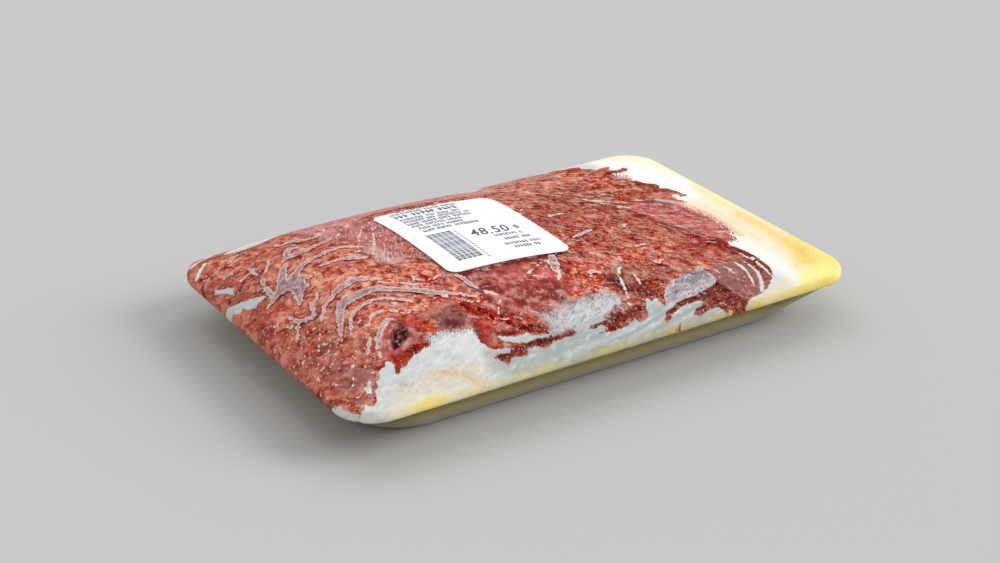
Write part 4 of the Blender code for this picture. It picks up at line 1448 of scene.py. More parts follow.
# The tray's rings as (inset, height, corner radius), from below, round the lip and down inside.
TRAY_RINGS = (
    (FOOT_INSET + 24.0, TRAY_FOOT, None),
    (FOOT_INSET + 3.0, TRAY_FOOT, None),
    (FOOT_INSET + 1.0, TRAY_FOOT + 0.3, None),
    (FOOT_INSET, TRAY_FOOT + 1.0, None),
    (FOOT_INSET - 0.8, TRAY_FOOT + 2.2, None),
    (FLANGE_INSET + 2.4, TRAY_TOP - 7.2, None),
    (FLANGE_INSET + 1.0, TRAY_TOP - 5.0, None),
    (FLANGE_INSET - 0.2, TRAY_TOP - FOAM - 0.9, None),
    (FLANGE_INSET - 1.8, TRAY_TOP - FOAM - 0.3, None),
    (LIP_INSET + 2.4, TRAY_TOP - 2.9, RIM_CORNER),
    (LIP_INSET + 1.0, TRAY_TOP - 2.75, RIM_CORNER),
    (LIP_INSET + 0.3, TRAY_TOP - 2.2, RIM_CORNER),
    (LIP_INSET, TRAY_TOP - 1.5, RIM_CORNER),
    (LIP_INSET + 0.15, TRAY_TOP - 0.8, RIM_CORNER),
    (LIP_INSET + 0.7, TRAY_TOP - 0.2, RIM_CORNER),
    (LIP_INSET + 1.5, TRAY_TOP, RIM_CORNER),
    (FLANGE_INSET - 2.2, TRAY_TOP, None),
    (FLANGE_INSET - 0.8, TRAY_TOP - 0.25, None),
    (FLANGE_INSET + 1.0, TRAY_TOP - 1.5, None),
    (FLANGE_INSET + 3.2, TRAY_TOP - 4.6, None),
    (FOOT_INSET + 1.2, TRAY_FOOT + FOAM + 2.2, None),
    (FOOT_INSET + 2.4, TRAY_FOOT + FOAM + 0.6, None),
    (FOOT_INSET + 4.6, TRAY_FOOT + FOAM, None),
    (FOOT_INSET + 24.0, TRAY_FOOT + FOAM, None),
)


def build_tray(colours):
    """The foam tray: base, sloping wall, flange and a rolled lip, extruded ring by ring from a circle."""
    count = ring_count(*TRAY_STEPS)
    rings = [ring_points(inset, height, *TRAY_STEPS, radius=radius) for inset, height, radius in TRAY_RINGS]
    deselect_all()
    bpy.ops.mesh.primitive_circle_add(vertices=count, radius=HALF_WIDTH * MM)
    tray = named("foam_tray")
    move_to(tray, rings[0])
    for ring in rings[1:]:
        grow_ring(tray, count, ring)
    fill_ring(tray, 0, count)
    fill_ring(tray, len(tray.data.vertices) - count, count)
    face_outwards(tray)
    finish_piece(tray, foam_material(colours), "tray")


# ---------------- film
FILM_CELLS = (360, 238)
RIDGE_HALF_WIDTH = 0.8

# The film's edge below the lip, as how far each ring lies in and down.
HEM = ((0.0, 0.9), (0.35, 1.7), (1.0, 2.3), (1.9, 2.6))

# Lines along which the pressed edge is soft, each with its added softness in millimetres.
SOFT_EDGES = (
    (3.6, ((-66, -48.5), (-61, -48), (-52, -50.5))),
    (5.0, ((-24, -57), (-12, -53.5), (-4, -51.3), (6, -50.8))),
    (4.0, ((80, -28), (84.5, -19), (87, -5), (86, 3), (84, 9))),
    (3.5, ((82, 41), (84, 45), (81, 49))),
    (5.0, ((-60, 55), (-30, 60), (0, 62), (25, 60))),
    (3.0, ((-60, 68), (0, 68), (30, 68))),
)
SHARP_EDGE = 0.35
SOFT_REACH = 6.0
FOG_COVER = 0.94
JUICE_COVER = 0.9


def film_relief(places, ridge_height):
    """Stretch ridges of the film, in millimetres of height."""
    relief = np.zeros(len(places))
    for ridge in RIDGES:
        gap, where = distance_to(places, ridge)
        taper = np.sin(np.pi * np.clip(where / (len(ridge) - 1), 0.02, 0.98))
        relief += ridge_height / MM * taper * np.exp(-((gap / RIDGE_HALF_WIDTH) ** 2))
    return relief


def edge_softness(plan):
    """How softly the pressed edge ends near each place, in millimetres."""
    soft = np.full(len(plan), SHARP_EDGE)
    for width, line in SOFT_EDGES:
        gap, _ = distance_to(plan, line)
        soft += width * smooth(1.0 - gap / SOFT_REACH)
    return soft


def dress_film(film):
    """Writes what the film's material reads at each point."""
    plan = places_of(film)[:, :2]
    pressed = pressed_depth(plan)
    soft = edge_softness(plan)
    fog = painted(plan, FOG_AND_PAINTED_LIGHT)
    fog[:, 3] = FOG_COVER
    write_values(film, "meat_edge", pressed)
    write_values(film, "edge_soft", soft)
    write_values(film, "pocket_edge", pocket_depth(plan) - 0.10)
    write_colours(film, "veil_and_painted_light", painted(plan, VEIL_AND_PAINTED_LIGHT))
    write_colours(film, "fog", fog)
    write_colours(film, "bloom", painted(plan, BLOOM_AND_PAINTED_LIGHT))
    write_colours(film, "stain", painted(plan, STAIN))
    for name, strokes in (("fleck", FLECKS), ("bridges", BRIDGES), ("crinkle", CRINKLES), ("net", NET)):
        write_values(film, name, painted(plan, strokes)[:, 3])
    # Juice gathers along sharp edges and at the rim.
    near_edge = 1.0 - smooth((np.abs(pressed) - 1.5) / 3.5)
    near_rim = 1.0 - smooth((rim_inset(plan) - 2.5) / 4.0)
    soft_share = smooth((soft - 0.6) / 2.0)
    write_values(film, "juice", JUICE_COVER * np.maximum(near_edge * 0.75 * (1.0 - soft_share), near_rim))


def hem_ring(outline, inset, height):
    """The outline's places moved straight in by an inset, at one height."""
    corner = np.array((HALF_LENGTH - RIM_CORNER, HALF_WIDTH - RIM_CORNER))
    way = outline - np.clip(outline, -corner, corner)
    way /= np.linalg.norm(way, axis=1)[:, None]
    return np.column_stack((outline - way * inset, np.full(len(outline), height)))


def order_like(old_ring, new_ring, outline):
    """The outline's places in the order of a ring just extruded from the old one."""
    order = np.lexsort(np.round(old_ring, 4).T)
    fresh = np.lexsort(np.round(new_ring, 4).T)
    sorted_outline = np.empty_like(outline)
    sorted_outline[fresh] = outline[order]
    return sorted_outline


def hem_film(film, count, edge_top):
    """Draws the film's edge down over the lip and in below it."""
    outline = None
    for inset, drop in HEM:
        if outline is None:
            select_boundary(film)
            places = extrude_selected(film)
            outline = places[-count:, :2].copy()
        else:
            select_last(film, count)
            places = extrude_selected(film)
            outline = order_like(places[-2 * count:-count, :2], places[-count:, :2], outline)
        places[-count:] = hem_ring(outline, inset, edge_top - drop)
        move_to(film, places)


def build_film(sizes, colours, group):
    """The film over the mound, from one grid, drawn over the lip by extruding its edge."""
    deselect_all()
    bpy.ops.mesh.primitive_grid_add(x_subdivisions=FILM_CELLS[0], y_subdivisions=FILM_CELLS[1], size=2.0)
    film = named("film_over_meat")
    places = places_of(film) * MM
    x, y = rounded_square(
        places[:, 0] * HALF_LENGTH, places[:, 1] * HALF_WIDTH, HALF_LENGTH, HALF_WIDTH, RIM_CORNER
    )
    plan = np.column_stack((x, y))
    bend = sizes.lip_round / MM
    inset = np.clip(rim_inset(plan), 0.0, bend)
    drop = bend - np.sqrt(bend**2 - (bend - inset) ** 2)
    height = film_top(x, y) + film_relief(plan, sizes.ridge_height) - drop
    move_to(film, np.column_stack((x, y, np.minimum(height, FILM_HIGH.z))))
    hem_film(film, 2 * sum(FILM_CELLS), RIM_TOP - bend)
    dress_film(film)
    finish_piece(film, film_material(group, colours), "film")


# ---------------- film under the tray
WRAP_STEPS = (22, 44, 28)
WRAP_ROWS = 14
WRAP_FOOT = 0.7
PLEAT_DEPTH = 0.32
MILKY_ABOVE = 0.66
MILKY_BELOW = 0.28
MILKY_HEIGHT = 7.0

# The film folded flat below the base, as (inset past the base's own, height).
WRAP_FOLDS = ((1.2, 0.12), (8.0, 0.02), (20.0, 0.02), (34.0, 0.04))


def gathered(ring, turn, share):
    """Moves a ring in by shallow pleats that deepen towards the base, most at the corners."""
    corner = smooth((np.abs(np.sin(turn * 2)) - 0.55) / 0.4)
    pleat = np.sin(turn * 61.0 + 1.7 * np.sin(turn * 5.0)) * np.sin(turn * 23.0 + 0.4)
    depth = PLEAT_DEPTH * share * corner * (0.5 + 0.5 * pleat)
    outward = ring[:, :2] / np.linalg.norm(ring[:, :2], axis=1)[:, None]
    ring[:, :2] -= outward * depth[:, None]
    return ring


def wrap_rings(start):
    """The rings below a first one: straight to the base, then flat beneath it."""
    foot = ring_points(BASE_INSET - 0.2, WRAP_FOOT, *WRAP_STEPS, radius=BASE_CORNER)
    turn = np.arange(len(start)) / len(start) * 2 * np.pi
    for row in range(1, WRAP_ROWS + 1):
        share = row / WRAP_ROWS
        yield gathered(start + (foot - start) * share, turn, share)
    for past_base, height in WRAP_FOLDS:
        inset = BASE_INSET + past_base
        radius = max(6.0, BASE_CORNER - 0.5 * (inset - BASE_INSET))
        yield ring_points(inset, height, *WRAP_STEPS, radius=radius)


def build_wrap(sizes):
    """The film under the lip: straight to the base, gathered at the corners, and folded flat beneath."""
    count = ring_count(*WRAP_STEPS)
    hem_inset, hem_drop = HEM[-1]
    edge_top = RIM_TOP - sizes.lip_round / MM
    start = ring_points(hem_inset, edge_top - hem_drop, *WRAP_STEPS, radius=RIM_CORNER)
    deselect_all()
    bpy.ops.mesh.primitive_circle_add(vertices=count, radius=HALF_WIDTH * MM)
    wrap = named("film_under_tray")
    move_to(wrap, start)
    for ring in wrap_rings(start):
        grow_ring(wrap, count, ring)
    fill_ring(wrap, len(wrap.data.vertices) - count, count)
    face_outwards(wrap)
    low = smooth(1.0 - places_of(wrap)[:, 2] / MILKY_HEIGHT)
    write_values(wrap, "milky", MILKY_ABOVE + MILKY_BELOW * low)
    finish_piece(wrap, wrap_material(), "film")


# ---------------- mince
CORE_CELLS = (330, 220)
CORE_HALF = (100, 66)
CORE_CORNER = 13

# The core's outline: its near and far sides by x, its right side by y, and its left side.
CORE_NEAR = (
    (-104, -52), (-98, -62), (-88, -55), (-80, -53), (-66, -50.5), (-56, -50), (-49, -57), (-44, -62),
    (-30, -63), (-18, -60), (-8, -56), (2, -60), (10, -64), (20, -60), (30, -58), (40, -62), (50, -66.5),
    (60, -65.5), (70, -60), (78, -46), (94, -40),
)
CORE_FAR = ((-104, 56), (-96, 64), (-60, 66.4), (40, 66.4), (68, 65), (80, 58), (86, 54), (94, 46))
CORE_RIGHT = (
    (-66, 62), (-60, 69), (-52, 76), (-40, 77), (-30, 77), (-20, 83), (-8, 86), (8, 84), (18, 90), (26, 90),
    (34, 87), (46, 83), (54, 86), (60, 80), (66, 70),
)
CORE_LEFT = -103.2
CORE_NEAREST, CORE_FARTHEST = -60, 66

# Insets and heights of the foam's upper face.
TRAY_FACE = (
    (0, RIM_TOP - 0.35), (4.2, RIM_TOP - 0.35), (5.6, RIM_TOP - 0.6), (7.4, RIM_TOP - 1.85),
    (9.6, RIM_TOP - 4.95), (16.2, 6.0), (17.4, 4.4), (19.6, 3.8), (40, 3.8),
)

# Shares of the core's outline that the rings of its underside take, one after the other.
CORE_UNDERSIDE = (1.0, 0.93, 0.84, 0.7, 0.4)

# A dark hollow in the meat under folds of the film, as centre, reach and depth.
HOLLOW = ((-74.8, -44.2), 3.4, 3.2)
LUMP_TABLE = 260

# How steeply the meat falls away past its pressed edge, from where and how far out, in millimetres.
EDGE_FALL, EDGE_FROM, EDGE_REACH = 1.4, 0.6, 12.0

# Gaps between the foam's face and the core's top, side and underside, and the bits.
CORE_GAP, SIDE_GAP, UNDER_GAP, BIT_GAP = 0.15, 0.08, 0.12, 0.1


def core_plan(across, along):
    """Places of the meat's core from two shares of -1 to 1 across its outline."""
    y_guess = np.interp(along, (-1, 1), (CORE_NEAREST, CORE_FARTHEST))
    right = np.interp(y_guess, *zip(*CORE_RIGHT))
    x = CORE_LEFT + (right - CORE_LEFT) * (across + 1) / 2
    near = np.interp(x, *zip(*CORE_NEAR))
    far = np.interp(x, *zip(*CORE_FAR))
    y = near + (far - near) * (along + 1) / 2
    return x, y


def tray_face(inset):
    """Height of the foam's upper face at an inset from the pack's outline."""
    return np.interp(inset, *zip(*TRAY_FACE))


def mince_ceiling(plan, sizes):
    """Height of pressed meat: just under the film, and lower in pockets and past the pressed edge."""
    clearance = sizes.film_clearance / MM
    normal = film_normal(plan[:, 0], plan[:, 1])
    ceiling = film_top(plan[:, 0], plan[:, 1]) - clearance / normal[:, 2]
    ceiling -= sizes.pocket_drop / MM * smooth(0.5 + pocket_depth(plan) / 2.0)
    ceiling -= EDGE_FALL * np.clip(EDGE_FROM - pressed_depth(plan), 0.0, EDGE_REACH)
    centre, reach, depth = HOLLOW
    gap = np.hypot(*(plan - np.array(centre)).T)
    return ceiling - depth * smooth(1.0 - gap / reach)


def lumps(plan, seed, grain):
    """Smooth random relief from 0 to 1 over the plan, with a grain in millimetres."""
    random = np.random.default_rng(seed)
    table = random.random((LUMP_TABLE, LUMP_TABLE))
    spot = plan / grain + 120.0
    cell = np.floor(spot).astype(int)
    part = smooth(spot - cell)
    column, row = (cell % (LUMP_TABLE - 1)).T
    low = table[row, column] * (1 - part[:, 0]) + table[row, column + 1] * part[:, 0]
    high = table[row + 1, column] * (1 - part[:, 0]) + table[row + 1, column + 1] * part[:, 0]
    return low * (1 - part[:, 1]) + high * part[:, 1]


def close_core(core, count):
    """The core's side goes down to the foam all round, and its underside lies on it."""
    select_boundary(core)
    places = extrude_selected(core)
    places[-count:, 2] = tray_face(rim_inset(places[-count:, :2])) + SIDE_GAP
    move_to(core, places)
    for last, share in zip(CORE_UNDERSIDE, CORE_UNDERSIDE[1:]):
        select_last(core, count)
        places = extrude_selected(core)
        edge = places[-count:, :2] * share / last
        places[-count:] = np.column_stack((edge, tray_face(rim_inset(edge)) + UNDER_GAP))
        move_to(core, places)
    fill_ring(core, len(core.data.vertices) - count, count)


def build_core(sizes, material):
    """The body of the mince: a lumpy mound pressed under the film, resting in the tray."""
    deselect_all()
    bpy.ops.mesh.primitive_grid_add(x_subdivisions=CORE_CELLS[0], y_subdivisions=CORE_CELLS[1], size=2.0)
    core = named("mince_core")
    half_x, half_y = CORE_HALF
    places = places_of(core) * MM
    across, along = rounded_square(places[:, 0] * half_x, places[:, 1] * half_y, half_x, half_y, CORE_CORNER)
    x, y = core_plan(across / half_x, along / half_y)
    plan = np.column_stack((x, y))
    relief = 0.55 * lumps(plan, 5, 1.3) + 0.45 * lumps(plan, 6, 2.9)
    ceiling = mince_ceiling(plan, sizes) - sizes.crevice / MM * (0.25 + 0.75 * relief)
    move_to(core, np.column_stack((x, y, np.maximum(ceiling, tray_face(rim_inset(plan)) + CORE_GAP))))
    close_core(core, 2 * sum(CORE_CELLS))
    face_outwards(core)
    plan = places_of(core)[:, :2]
    write_values(core, "tone", 0.25 + 0.5 * lumps(plan, 9, 2.2))
    write_values(core, "fat", np.zeros(len(plan)))
    write_colours(core, "bloom", painted(plan, BLOOM_AND_PAINTED_LIGHT))
    finish_piece(core, material, "meat")


# ---------------- bits of mince
BIT_SHAPES = 5
BIT_DEPTH = 0.5
BIT_FLATNESS = 0.55
SHAPE_SEED, LEAN_SEED, FAT_SEED = 21, 101, 202
SCATTER_AREA = 24000.0
SCATTER_X, SCATTER_Y = (-103, 93), (-69, 68)
SCATTER_DEPTH = 0.6
SCATTER_INSET = 4.2
FAT_WIDTH = 0.62
FAT_LENGTH = 0.5
SWEPT_ANGLE = -0.6


def triangles_of(mesh):
    """The mesh's faces, each cut into a fan of triangles."""
    faces = []
    for polygon in mesh.polygons:
        corners = list(polygon.vertices)
        faces += [(corners[0], corners[n], corners[n + 1]) for n in range(1, len(corners) - 1)]
    return np.array(faces)


def bit_shapes():
    """A few bits of mince, each a short bent noodle with rounded ends, as points and faces."""
    shapes = []
    random = np.random.default_rng(SHAPE_SEED)
    for index in range(BIT_SHAPES):
        deselect_all()
        bpy.ops.mesh.primitive_uv_sphere_add(segments=6, ring_count=5, radius=1.0 * MM)
        bit = named("bit_%d" % index)
        # Stretched along X: the sphere's poles become the ends.
        places = places_of(bit)[:, (2, 0, 1)]
        places[:, 0] = np.sign(places[:, 0]) * np.abs(places[:, 0]) ** 0.8
        swell = 1.0 + 0.28 * random.uniform(-1, 1) * places[:, 0]
        places[:, 1:] *= swell[:, None]
        bend = random.uniform(-0.5, 0.5)
        places[:, 1] += bend * (places[:, 0] ** 2 - 0.3)
        places += random.uniform(-0.1, 0.1, places.shape)
        mesh = bit.data
        shapes.append((places, triangles_of(mesh)))
        bpy.data.objects.remove(bit)
        bpy.data.meshes.remove(mesh)
    return shapes


def scatter_spots(count, random):
    """Places for the bits: spread evenly over the pressed meat, a jittered grid thinned by its outline."""
    pitch = math.sqrt(SCATTER_AREA / max(count, 1))
    grid = np.array([(x, y) for x in np.arange(*SCATTER_X, pitch) for y in np.arange(*SCATTER_Y, pitch)])
    grid += random.uniform(-0.45, 0.45, grid.shape) * pitch
    grid = grid[(pressed_depth(grid) > SCATTER_DEPTH) & (rim_inset(grid) > SCATTER_INSET)]
    random.shuffle(grid)
    return grid[:count]


def laid_bit(shape, spot, length, width, angle, lift):
    """One bit's points in the plan, with their heights from its own depth under the film."""
    local = shape * (length / 2, width / 2, width / 2 * 0.8)
    cosine, sine = math.cos(angle), math.sin(angle)
    place = np.empty_like(local)
    place[:, 0] = spot[0] + local[:, 0] * cosine - local[:, 1] * sine
    place[:, 1] = spot[1] + local[:, 0] * sine + local[:, 1] * cosine
    place[:, 2] = BIT_FLATNESS * local[:, 2] + lift
    return place


def press_flat(points, sizes):
    """Hangs each point under the ceiling at its own place, so that a bit is flattened against the film."""
    ceiling = mince_ceiling(points[:, :2], sizes)
    height = np.minimum(ceiling - BIT_DEPTH + points[:, 2], ceiling)
    points[:, 2] = np.maximum(height, tray_face(rim_inset(points[:, :2])) + BIT_GAP)


def build_bits(name, count, seed, fat, sizes, material):
    """Loose bits of mince laid over the core and pressed flat under the film, joined as one mesh."""
    shapes = bit_shapes()
    random = np.random.default_rng(seed)
    spots = scatter_spots(count, random)
    widths = sizes.bit_width / MM * random.uniform(0.6, 1.35, len(spots)) * (FAT_WIDTH if fat else 1.0)
    lengths = sizes.bit_length / MM * random.uniform(0.45, 1.5, len(spots)) * (FAT_LENGTH if fat else 1.0)
    lengths = np.maximum(widths * 1.1, lengths)
    # They lie along the way the mince was swept on the right, and any way elsewhere.
    swept = smooth((spots[:, 0] - 2.0) / 16.0)
    flow = (1.0 - swept) * 2.4 * lumps(spots, 33, 26.0) * math.pi + SWEPT_ANGLE * swept
    angles = flow + random.normal(0.0, 0.7, len(spots))
    tones = random.uniform(0.15, 0.95, len(spots))
    points, faces, tone_list, fat_list = [], [], [], []
    start = 0
    for spot, length, width, angle, tone in zip(spots, lengths, widths, angles, tones):
        shape, triangles = shapes[random.integers(len(shapes))]
        points.append(laid_bit(shape, spot, length, width, angle, random.uniform(-0.35, 0.25)))
        faces.append(triangles + start)
        start += len(shape)
        tone_list.append(np.full(len(shape), tone))
        fat_list.append(np.full(len(shape), fat * random.uniform(0.35, 1.0)))
    points = np.concatenate(points)
    press_flat(points, sizes)
    bits = new_piece(name, points, np.concatenate(faces).tolist())
    write_values(bits, "tone", np.concatenate(tone_list))
    write_values(bits, "fat", np.concatenate(fat_list))
    write_colours(bits, "bloom", painted(points[:, :2], BLOOM_AND_PAINTED_LIGHT))
    finish_piece(bits, material, "meat")


# ---------------- label
LABEL_CELLS = (60, 70)
LABEL_LIFT = 0.25
PRINT_LIFT = 0.045
DIGITS_LIFT = 0.06
PRINT_CELL = 2.4
PRINT_SEED = 77

# Rows of print, as (left, right, y, height, strength, stroke's share of the height).
PRINT_ROWS = (
    (-31, -13, 33.0, 2.1, 0.70, 0.24), (-34.8, -6.5, 30.0, 2.0, 0.65, 0.24),
    (-34.8, -6, 25.8, 3.1, 1.0, 0.24), (-34.8, -9, 22.4, 2.0, 0.70, 0.24),
    (-34.8, -6.8, 19.6, 2.0, 0.65, 0.24), (-34.8, -7, 17.0, 2.0, 0.65, 0.24),
    (-34.4, -13, 14.4, 1.9, 0.60, 0.24), (-33, -14, 11.6, 1.9, 0.60, 0.24),
    (-33, -8, 8.6, 2.0, 0.75, 0.24), (-12, 0, -6.0, 1.9, 0.70, 0.24),
    (-10, 2, -9.8, 2.0, 0.80, 0.26), (-12.5, 3, -14.0, 1.9, 0.70, 0.24),
    (-10.5, 1, -17.2, 2.0, 0.80, 0.26),
)

# The block of bars: its two ends, widths of bars and gaps, and how strongly it printed along y.
BARS_FROM, BARS_TO, BARS_LAST = 5.6, -18.6, -18.8
BAR_WIDTHS = (0.45, 0.7, 1.0)
BAR_GAPS = (0.24, 0.32, 0.45)
BAR_STRENGTH = (
    (-18, 0.6), (-16, 0.9), (-14, 1.0), (-11, 1.0), (-10, 0.5), (-8, 0.3), (-6, 0.75), (-4, 0.6), (-2, 0.15),
    (0, 0.6), (1.4, 0.3), (3, 0.8), (5.6, 0.9),
)
BARS_LEFT = -34.4
BAR_PITCH = 2.0
BAR_LENGTHS = (1.55, 1.55, 1.55, 1.55, 1.9)

# Small hooked marks beside the bars.
HOOKS_FROM, HOOKS_TO, HOOK_PITCH = 3.5, -20.5, 1.75
HOOK_LEFT, HOOK_MIDDLE, HOOK_RIGHT = -23.4, -22.9, -22.3
HOOK_HEIGHT, HOOK_FOOT, HOOK_STRENGTH = 0.9, 0.25, 0.4

# The large digits: type size, spacing and weight, left and low corner, width and height, and lean.
DIGITS = "48.50"
DIGITS_TYPE, DIGITS_SPACING, DIGITS_WEIGHT = 8.6, 1.12, 0.06
DIGITS_LEFT, DIGITS_LOW = -19.0, -3.0
DIGITS_WIDTH, DIGITS_HEIGHT, DIGITS_LEAN = 15.6, 6.0, 1.0

# The round mark after the digits, as a few rows.
MARK_ROWS = 7
MARK_CENTRE, MARK_LOW, MARK_HEIGHT, MARK_HALF_WIDTH = 0.1, -1.6, 3.4, 1.05
MARK_ROW_HEIGHT, MARK_STRENGTH, MARK_ROUND = 0.3, 0.9, 3.6

# A letter-like mark's pitch as a share of its height, its inked share of that, and marks in a word.
LETTER_WIDTH = 0.62
LETTER_INK = 0.72
WORD_GAP = 0.8
WORD_LENGTHS = (3, 9)


def on_label(places, lift):
    """Lays places of the label's own plan on the film, lifted off it."""
    cosine, sine = math.cos(LABEL_TURN), math.sin(LABEL_TURN)
    x = LABEL_CENTRE[0] + places[:, 0] * cosine - places[:, 1] * sine
    y = LABEL_CENTRE[1] + places[:, 0] * sine + places[:, 1] * cosine
    return np.column_stack((x, y, film_top(x, y))) + film_normal(x, y) * lift


def build_label(sizes, colours):
    """The paper label: a rounded sheet that follows the film, with a thickness."""
    half_x, half_y = LABEL_SIZE[0] / 2, LABEL_SIZE[1] / 2
    deselect_all()
    bpy.ops.mesh.primitive_grid_add(x_subdivisions=LABEL_CELLS[0], y_subdivisions=LABEL_CELLS[1], size=2.0)
    label = named("label_paper")
    places = places_of(label) * MM
    x, y = rounded_square(places[:, 0] * half_x, places[:, 1] * half_y, half_x, half_y, LABEL_CORNER)
    move_to(label, on_label(np.column_stack((x, y)), LABEL_LIFT))
    wall = label.modifiers.new("paper", "SOLIDIFY")
    wall.thickness = sizes.paper
    wall.offset = 1.0
    apply_modifiers(label)
    finish_piece(label, paper_material(colours), "label", smooth_faces=False)
    activate(label)
    bpy.ops.object.shade_smooth_by_angle(angle=math.radians(40))


class Print:
    """Collects the label's printed marks as little rectangles in the label's own plan."""

    def __init__(self):
        self.points, self.faces, self.strong = [], [], []

    def mark(self, left, low, right, high, strong=1.0):
        """One filled rectangle, cut into cells so that it can follow the label's curve."""
        columns = max(1, math.ceil((right - left) / PRINT_CELL))
        rows = max(1, math.ceil((high - low) / PRINT_CELL))
        start = len(self.points)
        for row in range(rows + 1):
            for column in range(columns + 1):
                x = left + (right - left) * column / columns
                y = low + (high - low) * row / rows
                self.points.append((x, y))
                self.strong.append(strong)
        for row in range(rows):
            for column in range(columns):
                corner = start + row * (columns + 1) + column
                self.faces.append((corner, corner + 1, corner + columns + 2, corner + columns + 1))

    def letter(self, x, low, height, stem, kind, strong):
        """One upright with a bar or a bowl beside it, which is no letter."""
        end = x + height * LETTER_WIDTH * LETTER_INK
        middle = low + height * 0.45
        self.mark(x, low, x + stem, low + height, strong)
        if kind in (0, 2):
            self.mark(x + stem, low + height - stem, end, low + height, strong)
        if kind in (1, 2):
            self.mark(x + stem, middle, end, middle + stem, strong)
        if kind in (0, 3):
            self.mark(end - stem, low, end, low + height * 0.55, strong)
        if kind == 3:
            self.mark(x + stem, low, end, low + stem, strong)

    def words(self, left, right, low, height, random, strong, weight):
        """A line of dashes and strokes the size of print, which spells nothing."""
        x = left
        pitch = height * LETTER_WIDTH
        while x < right - pitch:
            for _ in range(random.integers(*WORD_LENGTHS)):
                if x > right - pitch:
                    break
                self.letter(x, low, height, weight * height, random.integers(4), strong)
                x += pitch
            x += pitch * WORD_GAP


def print_bars(ink, random):
    ox, oy = LABEL_CENTRE
    y = BARS_FROM
    while y > BARS_TO:
        thick = random.choice(BAR_WIDTHS)
        gap = random.choice(BAR_GAPS)
        strong = float(np.interp(y, *zip(*BAR_STRENGTH)))
        if y - thick > BARS_LAST:
            for cut, length in enumerate(BAR_LENGTHS):
                left = BARS_LEFT + cut * BAR_PITCH
                ink.mark(left - ox, y - thick - oy, left + length - ox, y - oy, strong)
        y -= thick + gap


def print_marks(ink):
    """The hooked marks beside the bars and the round mark after the digits."""
    ox, oy = LABEL_CENTRE
    y = HOOKS_FROM
    while y > HOOKS_TO:
        ink.mark(HOOK_LEFT - ox, y - oy, HOOK_MIDDLE - ox, y + HOOK_HEIGHT - oy, HOOK_STRENGTH)
        ink.mark(HOOK_MIDDLE - ox, y - oy, HOOK_RIGHT - ox, y + HOOK_FOOT - oy, HOOK_STRENGTH)
        y -= HOOK_PITCH
    for row in range(MARK_ROWS):
        across = (row - MARK_ROWS // 2) / MARK_ROUND
        half = MARK_HALF_WIDTH * math.sqrt(max(0.0, 1.0 - across**2))
        low = MARK_LOW + row * MARK_HEIGHT / MARK_ROWS
        left, right = MARK_CENTRE - half, half + MARK_CENTRE
        ink.mark(left - ox, low - oy, right - ox, low + MARK_ROW_HEIGHT - oy, MARK_STRENGTH)


def build_print(sizes, material):
    """Rows of marks that spell nothing, a block of bars and small marks, laid on the paper."""
    random = np.random.default_rng(PRINT_SEED)
    ink = Print()
    ox, oy = LABEL_CENTRE
    for left, right, y, height, strong, weight in PRINT_ROWS:
        ink.words(left - ox, right - ox, y - oy, height, random, strong, weight)
    print_bars(ink, random)
    print_marks(ink)
    placed = on_label(np.array(ink.points), LABEL_LIFT + sizes.paper / MM + PRINT_LIFT)
    piece = new_piece("label_print", placed, ink.faces)
    write_values(piece, "strong", ink.strong)
    finish_piece(piece, material, "label", smooth_faces=False)


def build_digits(sizes, material):
    """The large plain digits, drawn out to their place on the label."""
    deselect_all()
    bpy.ops.object.text_add(location=(0, 0, 0))
    text = bpy.context.active_object.data
    text.body = DIGITS
    text.size = DIGITS_TYPE * MM
    text.space_character = DIGITS_SPACING
    text.offset = DIGITS_WEIGHT * MM
    text.resolution_u = 4
    bpy.ops.object.convert(target="MESH")
    digits = named("label_digits")
    places = places_of(digits)[:, :2]
    low = places.min(axis=0)
    spread = (places - low) / (places.max(axis=0) - low)
    x = DIGITS_LEFT + DIGITS_WIDTH * spread[:, 0] + DIGITS_LEAN * (spread[:, 1] - 0.5)
    y = DIGITS_LOW + DIGITS_HEIGHT * spread[:, 1]
    flat = np.column_stack((x, y)) - np.array(LABEL_CENTRE)
    move_to(digits, on_label(flat, LABEL_LIFT + sizes.paper / MM + DIGITS_LIFT))
    write_values(digits, "strong", np.ones(len(flat)))
    finish_piece(digits, material, "label", smooth_faces=False)


# ---------------- stage
FLOOR_SIZE = 12.0
FLOOR_DROP = 0.15
FLOOR_SHADE = 0.985
SKY_LEVEL = 0.588
LAMP_SPREAD = 34
LAMPS = (("key_light", 328, 30, 0.283), ("right_light", 30, 45, 0.111), ("back_light", 90, 45, 0.091))
CAMERA_LENS = 71.16
SENSOR_WIDTH = 36.0
CLIP_START, CLIP_END = 0.01, 50.0
CAMERA_AIM = Vector((-0.01304, -0.01008, 0.020))
CAMERA_AZIMUTH, CAMERA_ELEVATION, CAMERA_DISTANCE = -0.5671, 0.4520, 0.7112


def add_lamp(name, azimuth, elevation, level):
    """A broad far lamp. Its level is the light it lays on a level floor, where 1 shows white as white."""
    data = bpy.data.lights.new(name, "SUN")
    data.angle = math.radians(LAMP_SPREAD)
    data.energy = math.pi * level / math.sin(math.radians(elevation))
    lamp = bpy.data.objects.new(name, data)
    turn, rise = math.radians(azimuth), math.radians(elevation)
    way = Vector((math.cos(turn) * math.cos(rise), math.sin(turn) * math.cos(rise), math.sin(rise)))
    lamp.rotation_euler = way.to_track_quat("Z", "Y").to_euler()
    bpy.context.scene.collection.objects.link(lamp)


def build_floor(colours):
    deselect_all()
    bpy.ops.mesh.primitive_plane_add(size=FLOOR_SIZE, location=(0, 0, 0))
    floor = named("studio_floor")
    move_to(floor, places_of(floor) - np.array((0.0, 0.0, FLOOR_DROP)))
    floor.data.materials.append(floor_material(colours))


